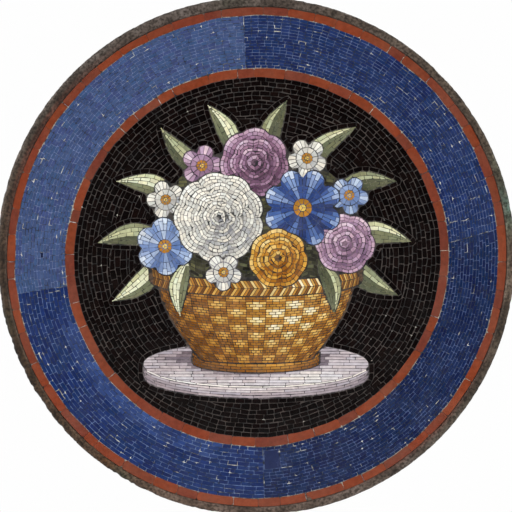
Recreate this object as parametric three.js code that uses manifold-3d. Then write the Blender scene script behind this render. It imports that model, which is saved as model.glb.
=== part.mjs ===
// A round micromosaic panel: glass tesserae in a mastic bed, held in a shallow copper tray.
// The panel hangs upright in the XZ plane with its picture facing -Y. Its origin is the centre of the flat back.
// Every piece is made lying down first (x right, y up the picture, z out of the face); the group stands it up.
// Millimetres throughout.

import * as THREE from 'three';
import { mergeVertices } from 'three/addons/utils/BufferGeometryUtils.js';
import Module from 'manifold-3d';

const wasm = await Module();
wasm.setup();

// ---- driving dimensions ----

const PANEL_RADIUS = 35;
const PANEL_DEPTH = 5;
const FLOOR_THICKNESS = 0.9;
const RIM_WIDTH = 1.35;
const LIP_ROUND = 0.25;
const BED_THICKNESS = 1.3;
const FACE_DROP = 0.2;
const JOINT = 0.2;
const SMALLEST_AREA = 0.45;

const OUTER_BORDER_WIDTH = 1.02;
const BLUE_BAND_WIDTH = 6.95;
const INNER_BORDER_WIDTH = 1.07;
const OUTER_BLOCKS = 56;
const INNER_BLOCKS = 44;
const BLOCK_GROOVE_WIDTH = 0.12;
const BLOCK_GROOVE_DEPTH = 0.35;

const BED_TOP = FLOOR_THICKNESS + BED_THICKNESS;
const FACE_HEIGHT = PANEL_DEPTH - FACE_DROP;
const RIM_INNER = PANEL_RADIUS - RIM_WIDTH;
const BLUE_OUTER = RIM_INNER - OUTER_BORDER_WIDTH;
const BLUE_INNER = BLUE_OUTER - BLUE_BAND_WIDTH;
const GROUND_RADIUS = BLUE_INNER - INNER_BORDER_WIDTH;

const TRAY_STEPS = 90;
const GROUND_STEPS = 72;
const BAND_STEP = THREE.MathUtils.degToRad(4);
const POINTS_PER_PETAL = 6;
const SIDE_STEPS = 8;
const BAND_STEPS = 16;
const OVAL_STEPS = 36;
const PETAL_ROUNDNESS = 0.6;
const LEAF_BELLY = 0.85;

// Where one batch of blue glass gives way to the next, counter-clockwise from the right.
const BLUE_BATCHES = [
  { name: 'blue_band_upper_right', from: 4, to: 93, colour: '#2f4176' },
  { name: 'blue_band_upper_left', from: 93, to: 189, colour: '#4c5c80' },
  { name: 'blue_band_lower_left', from: 189, to: 272, colour: '#30406a' },
  { name: 'blue_band_lower_right', from: 272, to: 364, colour: '#28345a' },
];

// ---- the picture: a basket of flowers on an oval plinth ----

const PLINTH = { x: 0, y: -14.6, halfWidth: 15.2, halfDepth: 2.9, edge: 1.7 };
const BASKET = { bottom: -13.9, top: -3.0, bottomHalf: 7.6, topHalf: 13.2, sag: 0.55 };
const BASKET_RIM = { y: -2.2, halfWidth: 14.4, height: 2.1, sag: 2.2 };
const BASKET_FOOT = { y: -13.7, halfWidth: 8.6, height: 1.5, sag: 1.3 };
const FOLIAGE = { x: 0.2, y: 3.2, halfWidth: 13.6, halfHeight: 11.4 };

// Flowers from the hindmost to the foremost: place, radius, petals, how deep the notches are, turn in degrees.
const FLOWERS = [
  { name: 'top_right_blossom', x: 6.9, y: 13.2, radius: 2.7, petals: 5, notch: 0.34, turn: 12, colour: '#dcd8c8' },
  { name: 'top_left_blossom', x: -7.3, y: 12.2, radius: 2.8, petals: 5, notch: 0.34, turn: 40, colour: '#b79ab0' },
  { name: 'left_blossom', x: -12.2, y: 7.6, radius: 2.6, petals: 5, notch: 0.34, turn: 0, colour: '#e0dccb' },
  { name: 'right_blossom', x: 12.6, y: 8.2, radius: 2.6, petals: 5, notch: 0.34, turn: 25, colour: '#a9b8d4' },
  { name: 'mauve_rose', x: -0.2, y: 12.6, radius: 4.7, petals: 7, notch: 0.1, turn: 10, colour: '#8d6580' },
  { name: 'lilac_rose', x: 12.0, y: 1.7, radius: 4.1, petals: 6, notch: 0.1, turn: 20, colour: '#b08aa2' },
  { name: 'pale_blue_flower', x: -12.3, y: 1.3, radius: 3.9, petals: 6, notch: 0.24, turn: 5, colour: '#8aa0c8' },
  { name: 'blue_anemone', x: 6.3, y: 6.5, radius: 5.3, petals: 8, notch: 0.26, turn: 0, colour: '#3c558f' },
  { name: 'white_peony', x: -5.0, y: 5.2, radius: 6.1, petals: 9, notch: 0.09, turn: 0, colour: '#d9d6cc' },
  { name: 'gold_ranunculus', x: 3.0, y: -0.3, radius: 4.0, petals: 7, notch: 0.1, turn: 15, colour: '#c98f30' },
  { name: 'rim_blossom', x: -4.4, y: -2.2, radius: 2.5, petals: 5, notch: 0.34, turn: 18, colour: '#d7d2e0' },
];

// Leaves from the hindmost to the foremost: where the stalk end lies, heading in degrees, length, width, bend.
const LEAVES = [
  { x: -2.6, y: 13.0, heading: 118, length: 8.4, width: 2.7, bend: -0.7, colour: '#cfd0a4' },
  { x: 1.6, y: 13.0, heading: 72, length: 8.4, width: 2.7, bend: 0.8, colour: '#8d9172' },
  { x: 5.4, y: 10.6, heading: 40, length: 10.6, width: 2.8, bend: 0.9, colour: '#bfc196' },
  { x: 10.2, y: 8.2, heading: 12, length: 9.0, width: 2.8, bend: 0.9, colour: '#7f8463' },
  { x: 11.6, y: 2.6, heading: -4, length: 9.4, width: 2.9, bend: 0.9, colour: '#d6d6ae' },
  { x: 11.6, y: 0.6, heading: -38, length: 9.6, width: 2.9, bend: -0.9, colour: '#8f9373' },
  { x: -5.4, y: 10.6, heading: 138, length: 10.0, width: 2.8, bend: 0.8, colour: '#858a68' },
  { x: -10.2, y: 7.6, heading: 164, length: 9.0, width: 2.8, bend: -0.9, colour: '#d3d3aa' },
  { x: -12.0, y: 2.4, heading: 184, length: 9.4, width: 2.9, bend: -0.9, colour: '#8a8e6d' },
  { x: -12.4, y: 0.2, heading: 222, length: 9.4, width: 2.9, bend: 0.9, colour: '#c9caa0' },
];

// Leaves that hang over the basket's rim, in front of everything but the flowers.
const FRONT_LEAVES = [
  { x: -9.2, y: -0.6, heading: 262, length: 7.6, width: 2.5, bend: -0.8, colour: '#d6d6ae' },
  { x: 8.4, y: -0.4, heading: 286, length: 7.8, width: 2.5, bend: 0.8, colour: '#9a9d78' },
];

// ---- solids: meshes joined and cut ----

function toSolid(geometry) {
  const bare = geometry.clone();
  bare.deleteAttribute('normal');
  bare.deleteAttribute('uv');
  const merged = mergeVertices(bare, 1e-4);
  const vertProperties = new Float32Array(merged.attributes.position.array);
  const triVerts = new Uint32Array(merged.index.array);
  return new wasm.Manifold(new wasm.Mesh({ numProp: 3, vertProperties, triVerts }));
}

function toGeometry(solid) {
  const mesh = solid.getMesh();
  const geometry = new THREE.BufferGeometry();
  geometry.setAttribute('position', new THREE.BufferAttribute(mesh.vertProperties, 3));
  geometry.setIndex(new THREE.BufferAttribute(mesh.triVerts, 1));
  geometry.computeVertexNormals();
  return geometry;
}

function joined(solids) {
  return solids.reduce((whole, next) => whole.add(next));
}

// The separate bodies of a cut solid, largest first, without the crumbs too small to be laid as tesserae.
function bodiesOf(solid) {
  const bodies = solid.decompose().filter((body) => body.volume() > SMALLEST_AREA * (FACE_HEIGHT - BED_TOP));
  return bodies.sort((a, b) => b.volume() - a.volume());
}

// ---- outlines ----

// Moves each point of a closed counter-clockwise outline outwards by the same distance.
function grown(points, distance) {
  return points.map((point, i) => {
    const before = points[(i + points.length - 1) % points.length];
    const after = points[(i + 1) % points.length];
    const along = after.clone().sub(before).normalize();
    return new THREE.Vector2(point.x + along.y * distance, point.y - along.x * distance);
  });
}

// A tesserae area: its outline carried from the mastic bed up to the ground-flat face.
function standing(points, foot = BED_TOP, head = FACE_HEIGHT) {
  const options = { depth: head - foot, bevelEnabled: false };
  const geometry = new THREE.ExtrudeGeometry(new THREE.Shape(points), options);
  geometry.translate(0, 0, foot);
  return toSolid(geometry);
}

function ellipse(cx, cy, rx, ry, count) {
  return Array.from({ length: count }, (_, i) => {
    const turn = (i / count) * 2 * Math.PI;
    return new THREE.Vector2(cx + rx * Math.cos(turn), cy + ry * Math.sin(turn));
  });
}

// The points of an elliptical arc, both ends included.
function arcPoints(cx, cy, rx, ry, from, to, steps) {
  return Array.from({ length: steps + 1 }, (_, i) => {
    const angle = from + ((to - from) * i) / steps;
    return new THREE.Vector2(cx + rx * Math.cos(angle), cy + ry * Math.sin(angle));
  });
}

// A band seen a little from above: its upper and lower edges sag in the same elliptical curve.
function saggingBand({ y, halfWidth, height, sag }) {
  const dip = (x) => sag * Math.sqrt(Math.max(0, 1 - (x / halfWidth) ** 2));
  const reach = (i) => -halfWidth * Math.cos((i / BAND_STEPS) * Math.PI);
  const across = Array.from({ length: BAND_STEPS + 1 }, (_, i) => reach(i));
  const lower = across.map((x) => new THREE.Vector2(x, y - height / 2 - dip(x)));
  const upper = across.map((x) => new THREE.Vector2(x, y + height / 2 - dip(x)));
  return [...lower, ...upper.reverse()];
}

// Half the basket's width at a share of its height, bowed out like a wicker bowl.
function basketHalf(share) {
  return BASKET.bottomHalf + (BASKET.topHalf - BASKET.bottomHalf) * Math.sin((share * Math.PI) / 2);
}

function basketOutline() {
  const height = BASKET.top - BASKET.bottom;
  const side = (sign) => (_, i) => {
    const share = i / SIDE_STEPS;
    return new THREE.Vector2(sign * basketHalf(share), BASKET.bottom + height * share);
  };
  const right = Array.from({ length: SIDE_STEPS + 1 }, side(1));
  const left = Array.from({ length: SIDE_STEPS + 1 }, side(-1)).reverse();
  const underside = arcPoints(0, BASKET.bottom, BASKET.bottomHalf, BASKET.sag, Math.PI, 2 * Math.PI, SIDE_STEPS);
  return [...right, ...left, ...underside.slice(1, -1)];
}

// Scalloped like a flower seen from the front.
function flowerOutline({ x, y, radius, petals, notch, turn }) {
  const count = petals * POINTS_PER_PETAL;
  const start = THREE.MathUtils.degToRad(turn);
  return Array.from({ length: count }, (_, i) => {
    const angle = (i / count) * 2 * Math.PI;
    const swell = Math.abs(Math.sin((petals * angle) / 2)) ** PETAL_ROUNDNESS;
    const reach = radius * (1 - notch + notch * swell);
    return new THREE.Vector2(x + reach * Math.cos(angle + start), y + reach * Math.sin(angle + start));
  });
}

// A pointed leaf along a bowed midrib.
function leafOutline({ x, y, heading, length, width, bend }) {
  const along = THREE.MathUtils.degToRad(heading);
  const at = (share, side) => {
    const forward = length * share;
    const half = (width / 2) * Math.sin(Math.PI * share ** LEAF_BELLY);
    const across = bend * Math.sin(Math.PI * share) + side * half;
    return new THREE.Vector2(
      x + forward * Math.cos(along) - across * Math.sin(along),
      y + forward * Math.sin(along) + across * Math.cos(along),
    );
  };
  const rightEdge = Array.from({ length: SIDE_STEPS + 1 }, (_, i) => at(i / SIDE_STEPS, -1));
  const leftEdge = Array.from({ length: SIDE_STEPS - 1 }, (_, i) => at((SIDE_STEPS - 1 - i) / SIDE_STEPS, 1));
  return [...rightEdge, ...leftEdge];
}

// ---- materials ----

function copper() {
  return new THREE.MeshStandardMaterial({ color: '#54493f', roughness: 0.55, metalness: 1 });
}

function mastic() {
  return new THREE.MeshStandardMaterial({ color: '#9a917f', roughness: 0.9, metalness: 0 });
}

function smalti(colour) {
  return new THREE.MeshStandardMaterial({ color: colour, roughness: 0.35, metalness: 0 });
}

// ---- pieces ----

const panel = new THREE.Group();
panel.rotation.x = Math.PI / 2;

function place(name, geometry, material) {
  const mesh = new THREE.Mesh(geometry, material);
  mesh.name = name;
  panel.add(mesh);
}

// An area that nearer ones have cut through is laid in several patches, each a piece of its own.
function placeBodies(name, solid, material) {
  bodiesOf(solid).forEach((body, i) => {
    place(i === 0 ? name : `${name}_patch_${i}`, toGeometry(body), material);
  });
}

// Turns a closed profile of [radius, height] pairs about the panel's axis.
function turned(profile, steps) {
  const points = profile.map(([r, h]) => new THREE.Vector2(r, h));
  const geometry = new THREE.LatheGeometry(points, steps);
  geometry.rotateX(Math.PI / 2);
  return geometry;
}

// The pan: floor and upright wall in one sheet, with a softened lip and heel.
function trayGeometry() {
  const round = LIP_ROUND;
  const profile = [
    [0, 0],
    [PANEL_RADIUS - round, 0],
    [PANEL_RADIUS, round],
    [PANEL_RADIUS, PANEL_DEPTH - round],
    [PANEL_RADIUS - round, PANEL_DEPTH],
    [RIM_INNER, PANEL_DEPTH],
    [RIM_INNER, FLOOR_THICKNESS],
    [0, FLOOR_THICKNESS],
  ];
  return turned(profile, TRAY_STEPS);
}

function bedGeometry() {
  const radius = RIM_INNER - JOINT;
  const profile = [
    [0, FLOOR_THICKNESS],
    [radius, FLOOR_THICKNESS],
    [radius, BED_TOP],
    [0, BED_TOP],
  ];
  return turned(profile, TRAY_STEPS);
}

// One ring of curved glass blocks end to end, parted by shallow radial joints.
function borderGeometry(outer, inner, blocks) {
  const profile = [
    [inner, BED_TOP],
    [outer, BED_TOP],
    [outer, FACE_HEIGHT],
    [inner, FACE_HEIGHT],
    [inner, BED_TOP],
  ];
  const ring = toSolid(turned(profile, blocks));
  const reach = outer - inner + 2 * JOINT;
  const grooves = Array.from({ length: blocks }, (_, i) => {
    const groove = new THREE.BoxGeometry(reach, BLOCK_GROOVE_WIDTH, 2 * BLOCK_GROOVE_DEPTH);
    groove.translate((outer + inner) / 2, 0, FACE_HEIGHT);
    groove.rotateZ(((i + 0.5) / blocks) * 2 * Math.PI);
    return toSolid(groove);
  });
  return toGeometry(ring.subtract(joined(grooves)));
}

// One batch of the blue band: the fused rings of tesserae between two seams.
function blueBatch({ from, to }) {
  const outer = BLUE_OUTER - JOINT / 2;
  const inner = BLUE_INNER + JOINT / 2;
  const halfSeam = JOINT / (outer + inner);
  const start = THREE.MathUtils.degToRad(from) + halfSeam;
  const end = THREE.MathUtils.degToRad(to) - halfSeam;
  const steps = Math.round((end - start) / BAND_STEP);
  const outside = arcPoints(0, 0, outer, outer, start, end, steps);
  const inside = arcPoints(0, 0, inner, inner, end, start, steps);
  return standing([...outside, ...inside]);
}

// The picture's areas from the hindmost to the foremost. Each keeps what no nearer one covers.
function pictureAreas() {
  const { x, y, halfWidth, halfDepth, edge } = PLINTH;
  const slab = ellipse(x, y, halfWidth, halfDepth, OVAL_STEPS);
  const arris = arcPoints(x, y, halfWidth, halfDepth, 2 * Math.PI, Math.PI, OVAL_STEPS / 2);
  const underside = arcPoints(x, y - edge, halfWidth, halfDepth, Math.PI, 2 * Math.PI, OVAL_STEPS / 2);
  const plinthSide = [...underside, ...arris];
  const mound = ellipse(FOLIAGE.x, FOLIAGE.y, FOLIAGE.halfWidth, FOLIAGE.halfHeight, OVAL_STEPS);
  const leaves = (list, kind) =>
    list.map((leaf, i) => ({ name: `${kind}_${i + 1}`, outline: leafOutline(leaf), colour: leaf.colour }));
  return [
    ...leaves(LEAVES, 'leaf'),
    { name: 'plinth_side', outline: plinthSide, colour: '#a39aa0' },
    { name: 'plinth_top', outline: slab, colour: '#d0c7c9' },
    { name: 'foliage', outline: mound, colour: '#4a4a33' },
    { name: 'basket_foot', outline: saggingBand(BASKET_FOOT), colour: '#a3702a' },
    { name: 'basket_body', outline: basketOutline(), colour: '#b5802f' },
    { name: 'basket_rim', outline: saggingBand(BASKET_RIM), colour: '#d3a247' },
    ...leaves(FRONT_LEAVES, 'hanging_leaf'),
    ...FLOWERS.map((flower) => ({ name: flower.name, outline: flowerOutline(flower), colour: flower.colour })),
  ];
}

place('copper_tray', trayGeometry(), copper());
place('mastic_bed', bedGeometry(), mastic());
place(
  'outer_border',
  borderGeometry(RIM_INNER - JOINT / 2, BLUE_OUTER + JOINT / 2, OUTER_BLOCKS),
  smalti('#7d4234'),
);
for (const batch of BLUE_BATCHES) {
  place(batch.name, toGeometry(blueBatch(batch)), smalti(batch.colour));
}
place(
  'inner_border',
  borderGeometry(BLUE_INNER - JOINT / 2, GROUND_RADIUS + JOINT / 2, INNER_BLOCKS),
  smalti('#7d3f30'),
);

let covered = null;
for (const area of pictureAreas().reverse()) {
  const whole = standing(area.outline);
  const visible = covered ? whole.subtract(covered) : whole;
  const reach = standing(grown(area.outline, JOINT), BED_TOP - 1, FACE_HEIGHT + 1);
  covered = covered ? covered.add(reach) : reach;
  placeBodies(area.name, visible, smalti(area.colour));
}

const groundDisc = standing(ellipse(0, 0, GROUND_RADIUS - JOINT / 2, GROUND_RADIUS - JOINT / 2, GROUND_STEPS));
placeBodies('black_ground', groundDisc.subtract(covered), smalti('#1b1512'));

export default panel;
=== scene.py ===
import math
import random

import bpy
import numpy as np
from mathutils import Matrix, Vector, noise


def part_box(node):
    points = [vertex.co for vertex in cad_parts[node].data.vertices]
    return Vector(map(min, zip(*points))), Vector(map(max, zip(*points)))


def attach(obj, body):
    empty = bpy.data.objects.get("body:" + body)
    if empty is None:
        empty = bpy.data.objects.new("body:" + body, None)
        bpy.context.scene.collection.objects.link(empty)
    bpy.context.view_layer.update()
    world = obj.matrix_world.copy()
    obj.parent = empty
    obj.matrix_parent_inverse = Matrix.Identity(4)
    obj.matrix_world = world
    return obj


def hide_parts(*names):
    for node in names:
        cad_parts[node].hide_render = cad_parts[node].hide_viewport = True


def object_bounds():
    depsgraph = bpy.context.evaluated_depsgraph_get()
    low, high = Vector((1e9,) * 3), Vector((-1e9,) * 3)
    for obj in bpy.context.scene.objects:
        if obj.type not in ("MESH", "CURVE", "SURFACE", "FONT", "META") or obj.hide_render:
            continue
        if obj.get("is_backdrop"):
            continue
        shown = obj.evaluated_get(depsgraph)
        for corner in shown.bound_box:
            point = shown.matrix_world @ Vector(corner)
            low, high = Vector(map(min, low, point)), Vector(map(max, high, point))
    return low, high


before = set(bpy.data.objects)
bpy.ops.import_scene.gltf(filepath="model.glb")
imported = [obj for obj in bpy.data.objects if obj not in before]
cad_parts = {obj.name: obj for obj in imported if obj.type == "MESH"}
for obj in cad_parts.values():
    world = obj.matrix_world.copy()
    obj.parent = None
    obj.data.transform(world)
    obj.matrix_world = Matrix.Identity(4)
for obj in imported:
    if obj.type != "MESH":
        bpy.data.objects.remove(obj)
cad_low, cad_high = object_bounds()


# ---- Copper tray ----
# A shallow pan beaten from one sheet of copper: a flat floor, and an upright wall whose bare edge frames the
# picture. The edge is filed by hand and nicked, and the metal has gone dark brown, with green verdigris where
# damp has stood.

MM = 0.001
TRAY_STEPS = 1200
PANEL_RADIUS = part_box("copper_tray")[1].x / MM
PANEL_DEPTH = -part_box("copper_tray")[0].y / MM
FLOOR_TOP = -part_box("mastic_bed")[1].y / MM
RIM_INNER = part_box("outer_border")[1].x / MM + 0.1
WALL_INNER = 33.62
NICK_DEPTH = 0.5
NICK_LENGTH = 1.7
FILE_MARK_DEPTH = 0.22
FILE_MARK_LENGTH = 0.45
EDGE_WOBBLE = 0.07
EDGE_SWAY = 0.03
# Where the edge is most worn and where it is dirtiest, each with its spread in degrees.
MOST_WORN = (218, 38)
DIRTIEST = (212, 32)
# Tone of the metal round the tray: angle and colour.
RIM_TONES = [
    (0, "#7f7061"), (40, "#877a6e"), (90, "#7b716c"), (135, "#786f69"), (165, "#685a4f"), (208, "#67533f"),
    (234, "#8c7461"), (268, "#92817a"), (312, "#7d756f"), (360, "#7f7061"),
]
# Stains: angle, half its length in degrees, colour and strength.
RIM_STAINS = [
    (12.5, 4.5, "#56857a", 0.7), (7, 2.5, "#657c68", 0.5), (234, 2.2, "#a0713f", 0.7),
    (238.5, 2.6, "#5f6c56", 0.6), (21, 3, "#5c6f5c", 0.4), (195, 2.5, "#4f5140", 0.5),
    (322, 6, "#8f8a80", 0.4), (148, 6, "#8c8680", 0.4), (96, 3, "#6f7466", 0.4),
]
# Dust of the red border, rubbed on to the wall's inner edge round two angles.
BRICK_DUST = "#7d4636"
DUSTY = (150, 318)
DUST_SPREAD = 22


def linear(hex_colour):
    """An sRGB hex colour as linear red, green and blue."""
    values = [int(hex_colour[i:i + 2], 16) / 255 for i in (1, 3, 5)]
    return [v / 12.92 if v <= 0.04045 else ((v + 0.055) / 1.055) ** 2.4 for v in values]


def join(tree, made, inputs):
    """Sets a node's inputs, each to a hex colour, a value, or a node's first, named or numbered output."""
    for name, value in inputs.items():
        if isinstance(value, bpy.types.Node):
            value = (value, 0)
        if isinstance(value, str):
            value = linear(value) + [1.0]
        if isinstance(value, tuple) and isinstance(value[0], bpy.types.Node):
            tree.links.new(value[0].outputs[value[1]], made.inputs[name])
        else:
            made.inputs[name].default_value = value


def node(tree, kind, inputs=None, stops=None, **settings):
    """Adds a shader node with its settings, its inputs and, for a colour ramp, its stops."""
    made = tree.nodes.new(kind)
    for name, value in settings.items():
        setattr(made, name, value)
    join(tree, made, inputs or {})
    if stops:
        elements = made.color_ramp.elements
        while len(elements) < len(stops):
            elements.new(0.5)
        for element, (place, colour) in zip(elements, stops):
            element.position = place
            element.color = linear(colour) + [1.0]
    return made


def new_material(name):
    """A material with its tree, its Principled shader and the piece's own coordinates."""
    made = bpy.data.materials.new(name)
    made.use_nodes = True
    tree = made.node_tree
    return made, tree, tree.nodes["Principled BSDF"], node(tree, "ShaderNodeTexCoord")


def per_metre(millimetres):
    """The texture scale that gives features about this long."""
    return 1 / (millimetres * MM)


def mottled(tree, place, colour, length, stops, detail, roughness=0.5):
    """Lays an uneven tone over a colour, in patches this long in mm. Gives the colour and the pattern."""
    pattern = node(tree, "ShaderNodeTexNoise", {"Vector": (place, "Object"), "Scale": per_metre(length),
                                                "Detail": detail, "Roughness": roughness})
    tone_of_patch = node(tree, "ShaderNodeValToRGB", {"Fac": pattern}, stops=stops)
    toned = node(tree, "ShaderNodeMix", {0: 1.0, 6: colour, 7: tone_of_patch}, data_type="RGBA",
                 blend_type="MULTIPLY")
    return (toned, 2), pattern


def make_piece(name, points, faces, material, smooth=False):
    """A mesh from points in mm given as x, up the picture, and out of the face from the panel's back."""
    points = np.asarray(points, float)
    spots = np.column_stack([points[:, 0], -points[:, 2], points[:, 1]]) * MM
    mesh = bpy.data.meshes.new(name)
    mesh.from_pydata(spots.tolist(), [], faces)
    mesh.materials.append(material)
    mesh.polygons.foreach_set("use_smooth", [smooth] * len(mesh.polygons))
    mesh.update()
    piece = bpy.data.objects.new(name, mesh)
    bpy.context.scene.collection.objects.link(piece)
    return piece


def colour_points(piece, layer, colours):
    """Stores one linear colour for each point of the mesh."""
    attribute = piece.data.color_attributes.new(layer, "FLOAT_COLOR", "POINT")
    rgba = np.column_stack([np.asarray(colours, np.float32), np.ones(len(colours), np.float32)])
    attribute.data.foreach_set("color", rgba.ravel())


def polar(radius, angle, x=0.0, y=0.0):
    """The place at this distance and angle from another, or from the panel's axis."""
    return x + radius * math.cos(angle), y + radius * math.sin(angle)


def bell(value, middle, spread):
    """1 at the middle, falling away to 0 on both sides."""
    return math.exp(-((value - middle) / spread) ** 2)


def clamped(value):
    """The value kept between 0 and 1."""
    return min(max(value, 0), 1)


def mixed(first, second, share):
    """A linear colour this share of the way from the first to the second."""
    return [a + (b - a) * share for a, b in zip(first, second)]


def round_noise(angle, radius, length, layer):
    """Smooth noise from -1 to 1 round the panel, with features of this length in mm."""
    return noise.noise(Vector((*polar(radius / length, angle), 7.3 * layer)))


def stray(angle, right, down, wide, slant):
    """How far a ring made by eye strays from a true circle: off centre, wider than high, and slanted."""
    off_centre = right * math.cos(angle) - down * math.sin(angle)
    return off_centre + wide * math.cos(2 * angle) + slant * math.sin(2 * angle)


def wall_line(angle):
    """The inner face of the tray's wall, which is thickest at the upper left."""
    return RIM_INNER + 0.12 + stray(angle, 0.11, 0.12, 0.0, 0.14)


def rim_tone(angle, radius):
    """The metal's colour at one place, before its fine mottling."""
    turn = math.degrees(angle) % 360
    after = next(i for i, (place, _) in enumerate(RIM_TONES) if place > turn)
    (start, low), (end, high) = RIM_TONES[after - 1], RIM_TONES[after]
    colour = mixed(linear(low), linear(high), (turn - start) / (end - start))
    for place, reach, stain, strength in RIM_STAINS:
        gap = (turn - place + 180) % 360 - 180
        ragged = 1 + 0.7 * noise.noise(Vector((radius / 0.5, turn / 1.3, place)))
        share = strength * bell(gap, 0, reach) * ragged * clamped(radius - 33.4)
        colour = mixed(colour, linear(stain), clamped(share))
    dust = clamped((34.3 - radius) / 0.4) * sum(bell(turn, place, DUST_SPREAD) for place in DUSTY)
    colour = mixed(colour, linear(BRICK_DUST), 0.7 * dust)
    grime = clamped((radius - 34.3) / 0.6) * bell(turn, *DIRTIEST)
    return [x * (1 - 0.5 * grime) for x in colour]


def tray_mesh():
    """The pan's profile turned round its axis, its edge nicked and filed and its wall a little uneven."""
    # Each corner's radius, height over the back, share of the outer nicks and share of the inner wobble.
    profile = [
        (12, 0, 0, 0), (24, 0, 0, 0), (32, 0, 0, 0), (34.5, 0, 0.1, 0), (34.8, 0.09, 0.2, 0),
        (34.95, 0.28, 0.3, 0), (35, 0.6, 0.3, 0), (35, 2.4, 0.4, 0), (35, 4.3, 0.7, 0), (34.97, 4.68, 1, 0),
        (34.86, 4.88, 1, 0), (34.66, 4.98, 0.8, 0), (34.4, 5, 0.4, 0), (34.0, 4.98, 0, 0.4),
        (33.82, 4.93, 0, 1), (33.68, 4.84, 0, 1), (WALL_INNER, 4.74, 0, 1), (WALL_INNER, 3.9, 0, 1),
        (WALL_INNER, FLOOR_TOP, 0, 0), (20, FLOOR_TOP, 0, 0),
    ]
    points = []
    for step in range(TRAY_STEPS):
        angle = 2 * math.pi * step / TRAY_STEPS
        worn_side = 0.35 + 0.65 * bell(math.degrees(angle), *MOST_WORN)
        nick = NICK_DEPTH * worn_side * max(0, round_noise(angle, PANEL_RADIUS, NICK_LENGTH, 1) - 0.12)
        filed = round_noise(angle, PANEL_RADIUS, FILE_MARK_LENGTH, 2) + 0.1
        nick += FILE_MARK_DEPTH * worn_side * max(0, filed)
        wobble = EDGE_WOBBLE * round_noise(angle, PANEL_RADIUS, 4, 3)
        thinner = wall_line(angle) - WALL_INNER
        sway = EDGE_SWAY * round_noise(angle, PANEL_RADIUS, 2.5, 4)
        for radius, height, outer, inner in profile:
            r = radius - outer * nick + inner * wobble
            if height >= FLOOR_TOP and radius > 30:
                r += thinner * (PANEL_RADIUS - radius) / (PANEL_RADIUS - WALL_INNER)
            h = height - max(outer, inner) * abs(sway) if height > 4 else height
            points.append((*polar(r, angle), h))
    rings = len(profile)
    points += [(0, 0, 0), (0, 0, FLOOR_TOP)]
    back, floor = len(points) - 2, len(points) - 1
    faces = []
    for step in range(TRAY_STEPS):
        here, there = step * rings, (step + 1) % TRAY_STEPS * rings
        faces.append((back, there, here))
        faces.append((floor, here + rings - 1, there + rings - 1))
        for ring in range(rings - 1):
            faces.append((here + ring, there + ring, there + ring + 1, here + ring + 1))
    return points, faces


def patinated_copper():
    """Old copper: brown oxide that has lost most of its shine, rubbed paler on the edge, green in patches."""
    material, tree, shader, place = new_material("patinated_copper")
    patina = node(tree, "ShaderNodeAttribute", attribute_name="patina", attribute_type="GEOMETRY")
    cloudy = [(0.32, "#8d867f"), (0.5, "#cfcac5"), (0.68, "#ffffff")]
    colour, mottle = mottled(tree, place, (patina, "Color"), 2.2, cloudy, 8.0, 0.66)
    colour, grain = mottled(tree, place, colour, 0.35, [(0.36, "#88827b"), (0.6, "#ffffff")], 4.0)
    tarnish = [(0.36, "#a5a096"), (0.5, "#e6e2dc"), (0.64, "#ffffff")]
    colour, _ = mottled(tree, place, colour, 11, tarnish, 5.0, 0.6)
    rubbed = node(tree, "ShaderNodeMapRange", {0: mottle, 1: 0.4, 2: 0.7, 3: 0.66, 4: 0.42})
    # Hammer marks about four millimetres across.
    beaten = node(tree, "ShaderNodeTexVoronoi", {"Vector": (place, "Object"), "Scale": per_metre(4.2)},
                  feature="SMOOTH_F1")
    hollows = node(tree, "ShaderNodeBump", {"Height": beaten, "Strength": 0.5, "Distance": 0.25 * MM})
    pitting = node(tree, "ShaderNodeBump", {"Height": grain, "Strength": 0.5, "Distance": 0.05 * MM,
                                            "Normal": hollows})
    join(tree, shader, {"Base Color": colour, "Roughness": rubbed, "Normal": pitting, "Metallic": 0.35,
                        "Specular IOR Level": 0.35})
    return material


tray_points, tray_faces = tray_mesh()
copper_tray = make_piece("copper_tray_worn", tray_points, tray_faces, patinated_copper(), smooth=True)
tones = [rim_tone(math.atan2(y, x), math.hypot(x, y)) for x, y, _ in tray_points]
colour_points(copper_tray, "patina", tones)
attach(copper_tray, "root")
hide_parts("copper_tray")


# ---- Mastic bed ----
# Slaked lime and powdered travertine worked up with linseed oil, trowelled into the tray and pressed up
# between the tesserae as they were pushed in. Wax tinted to suit each area closes the joints, so they are
# dark in the black, grey-blue in the band and brown in the basket.

FACE = -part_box("white_peony")[0].y / MM
MASTIC_DROP = 0.036
MASTIC_RIPPLE = 0.012
MASTIC_RINGS = 150
MASTIC_STEPS = 520
BLUE_OUTER = RIM_INNER - 1.02
BLUE_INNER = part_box("inner_border")[1].x / MM + 0.1
GROUND_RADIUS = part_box("black_ground")[1].x / MM + 0.1

# The blue band's four lots: first and last angle, and the tint of the wax in their joints.
BLUE_SEAMS = [(4, 93, "#5a6a92"), (93, 189, "#6776a0"), (189, 272, "#6277a4"), (272, 364, "#4a5c88")]
GROUND_WAX = "#3f3733"
BORDER_WAX = "#70402f"
# The wax's tint by the area that it lies in, the first name that fits.
JOINT_TINTS = [
    ("black_ground", GROUND_WAX), ("basket", "#5b4430"), ("gold", "#6e4f2c"), ("foliage", "#3d3a2e"),
    ("plinth", "#7f7479"), ("white", "#8f8c86"), ("left_blossom", "#8a877e"), ("top_right", "#8a877e"),
    ("rim_blossom", "#86838c"), ("mauve", "#6b4d61"), ("lilac", "#866b7c"), ("top_left", "#7d6577"),
    ("blue_anemone", "#43537c"), ("pale_blue", "#6c7c9c"), ("right_blossom", "#76829e"), ("", "#77765c"),
]
# Pale lines where the wax has gone beside the borders: their tint, and half their width inside and outside.
PALE_LINE = "#a8a397"
PALE_INNER = 0.27
PALE_OUTER = 0.16


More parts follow.
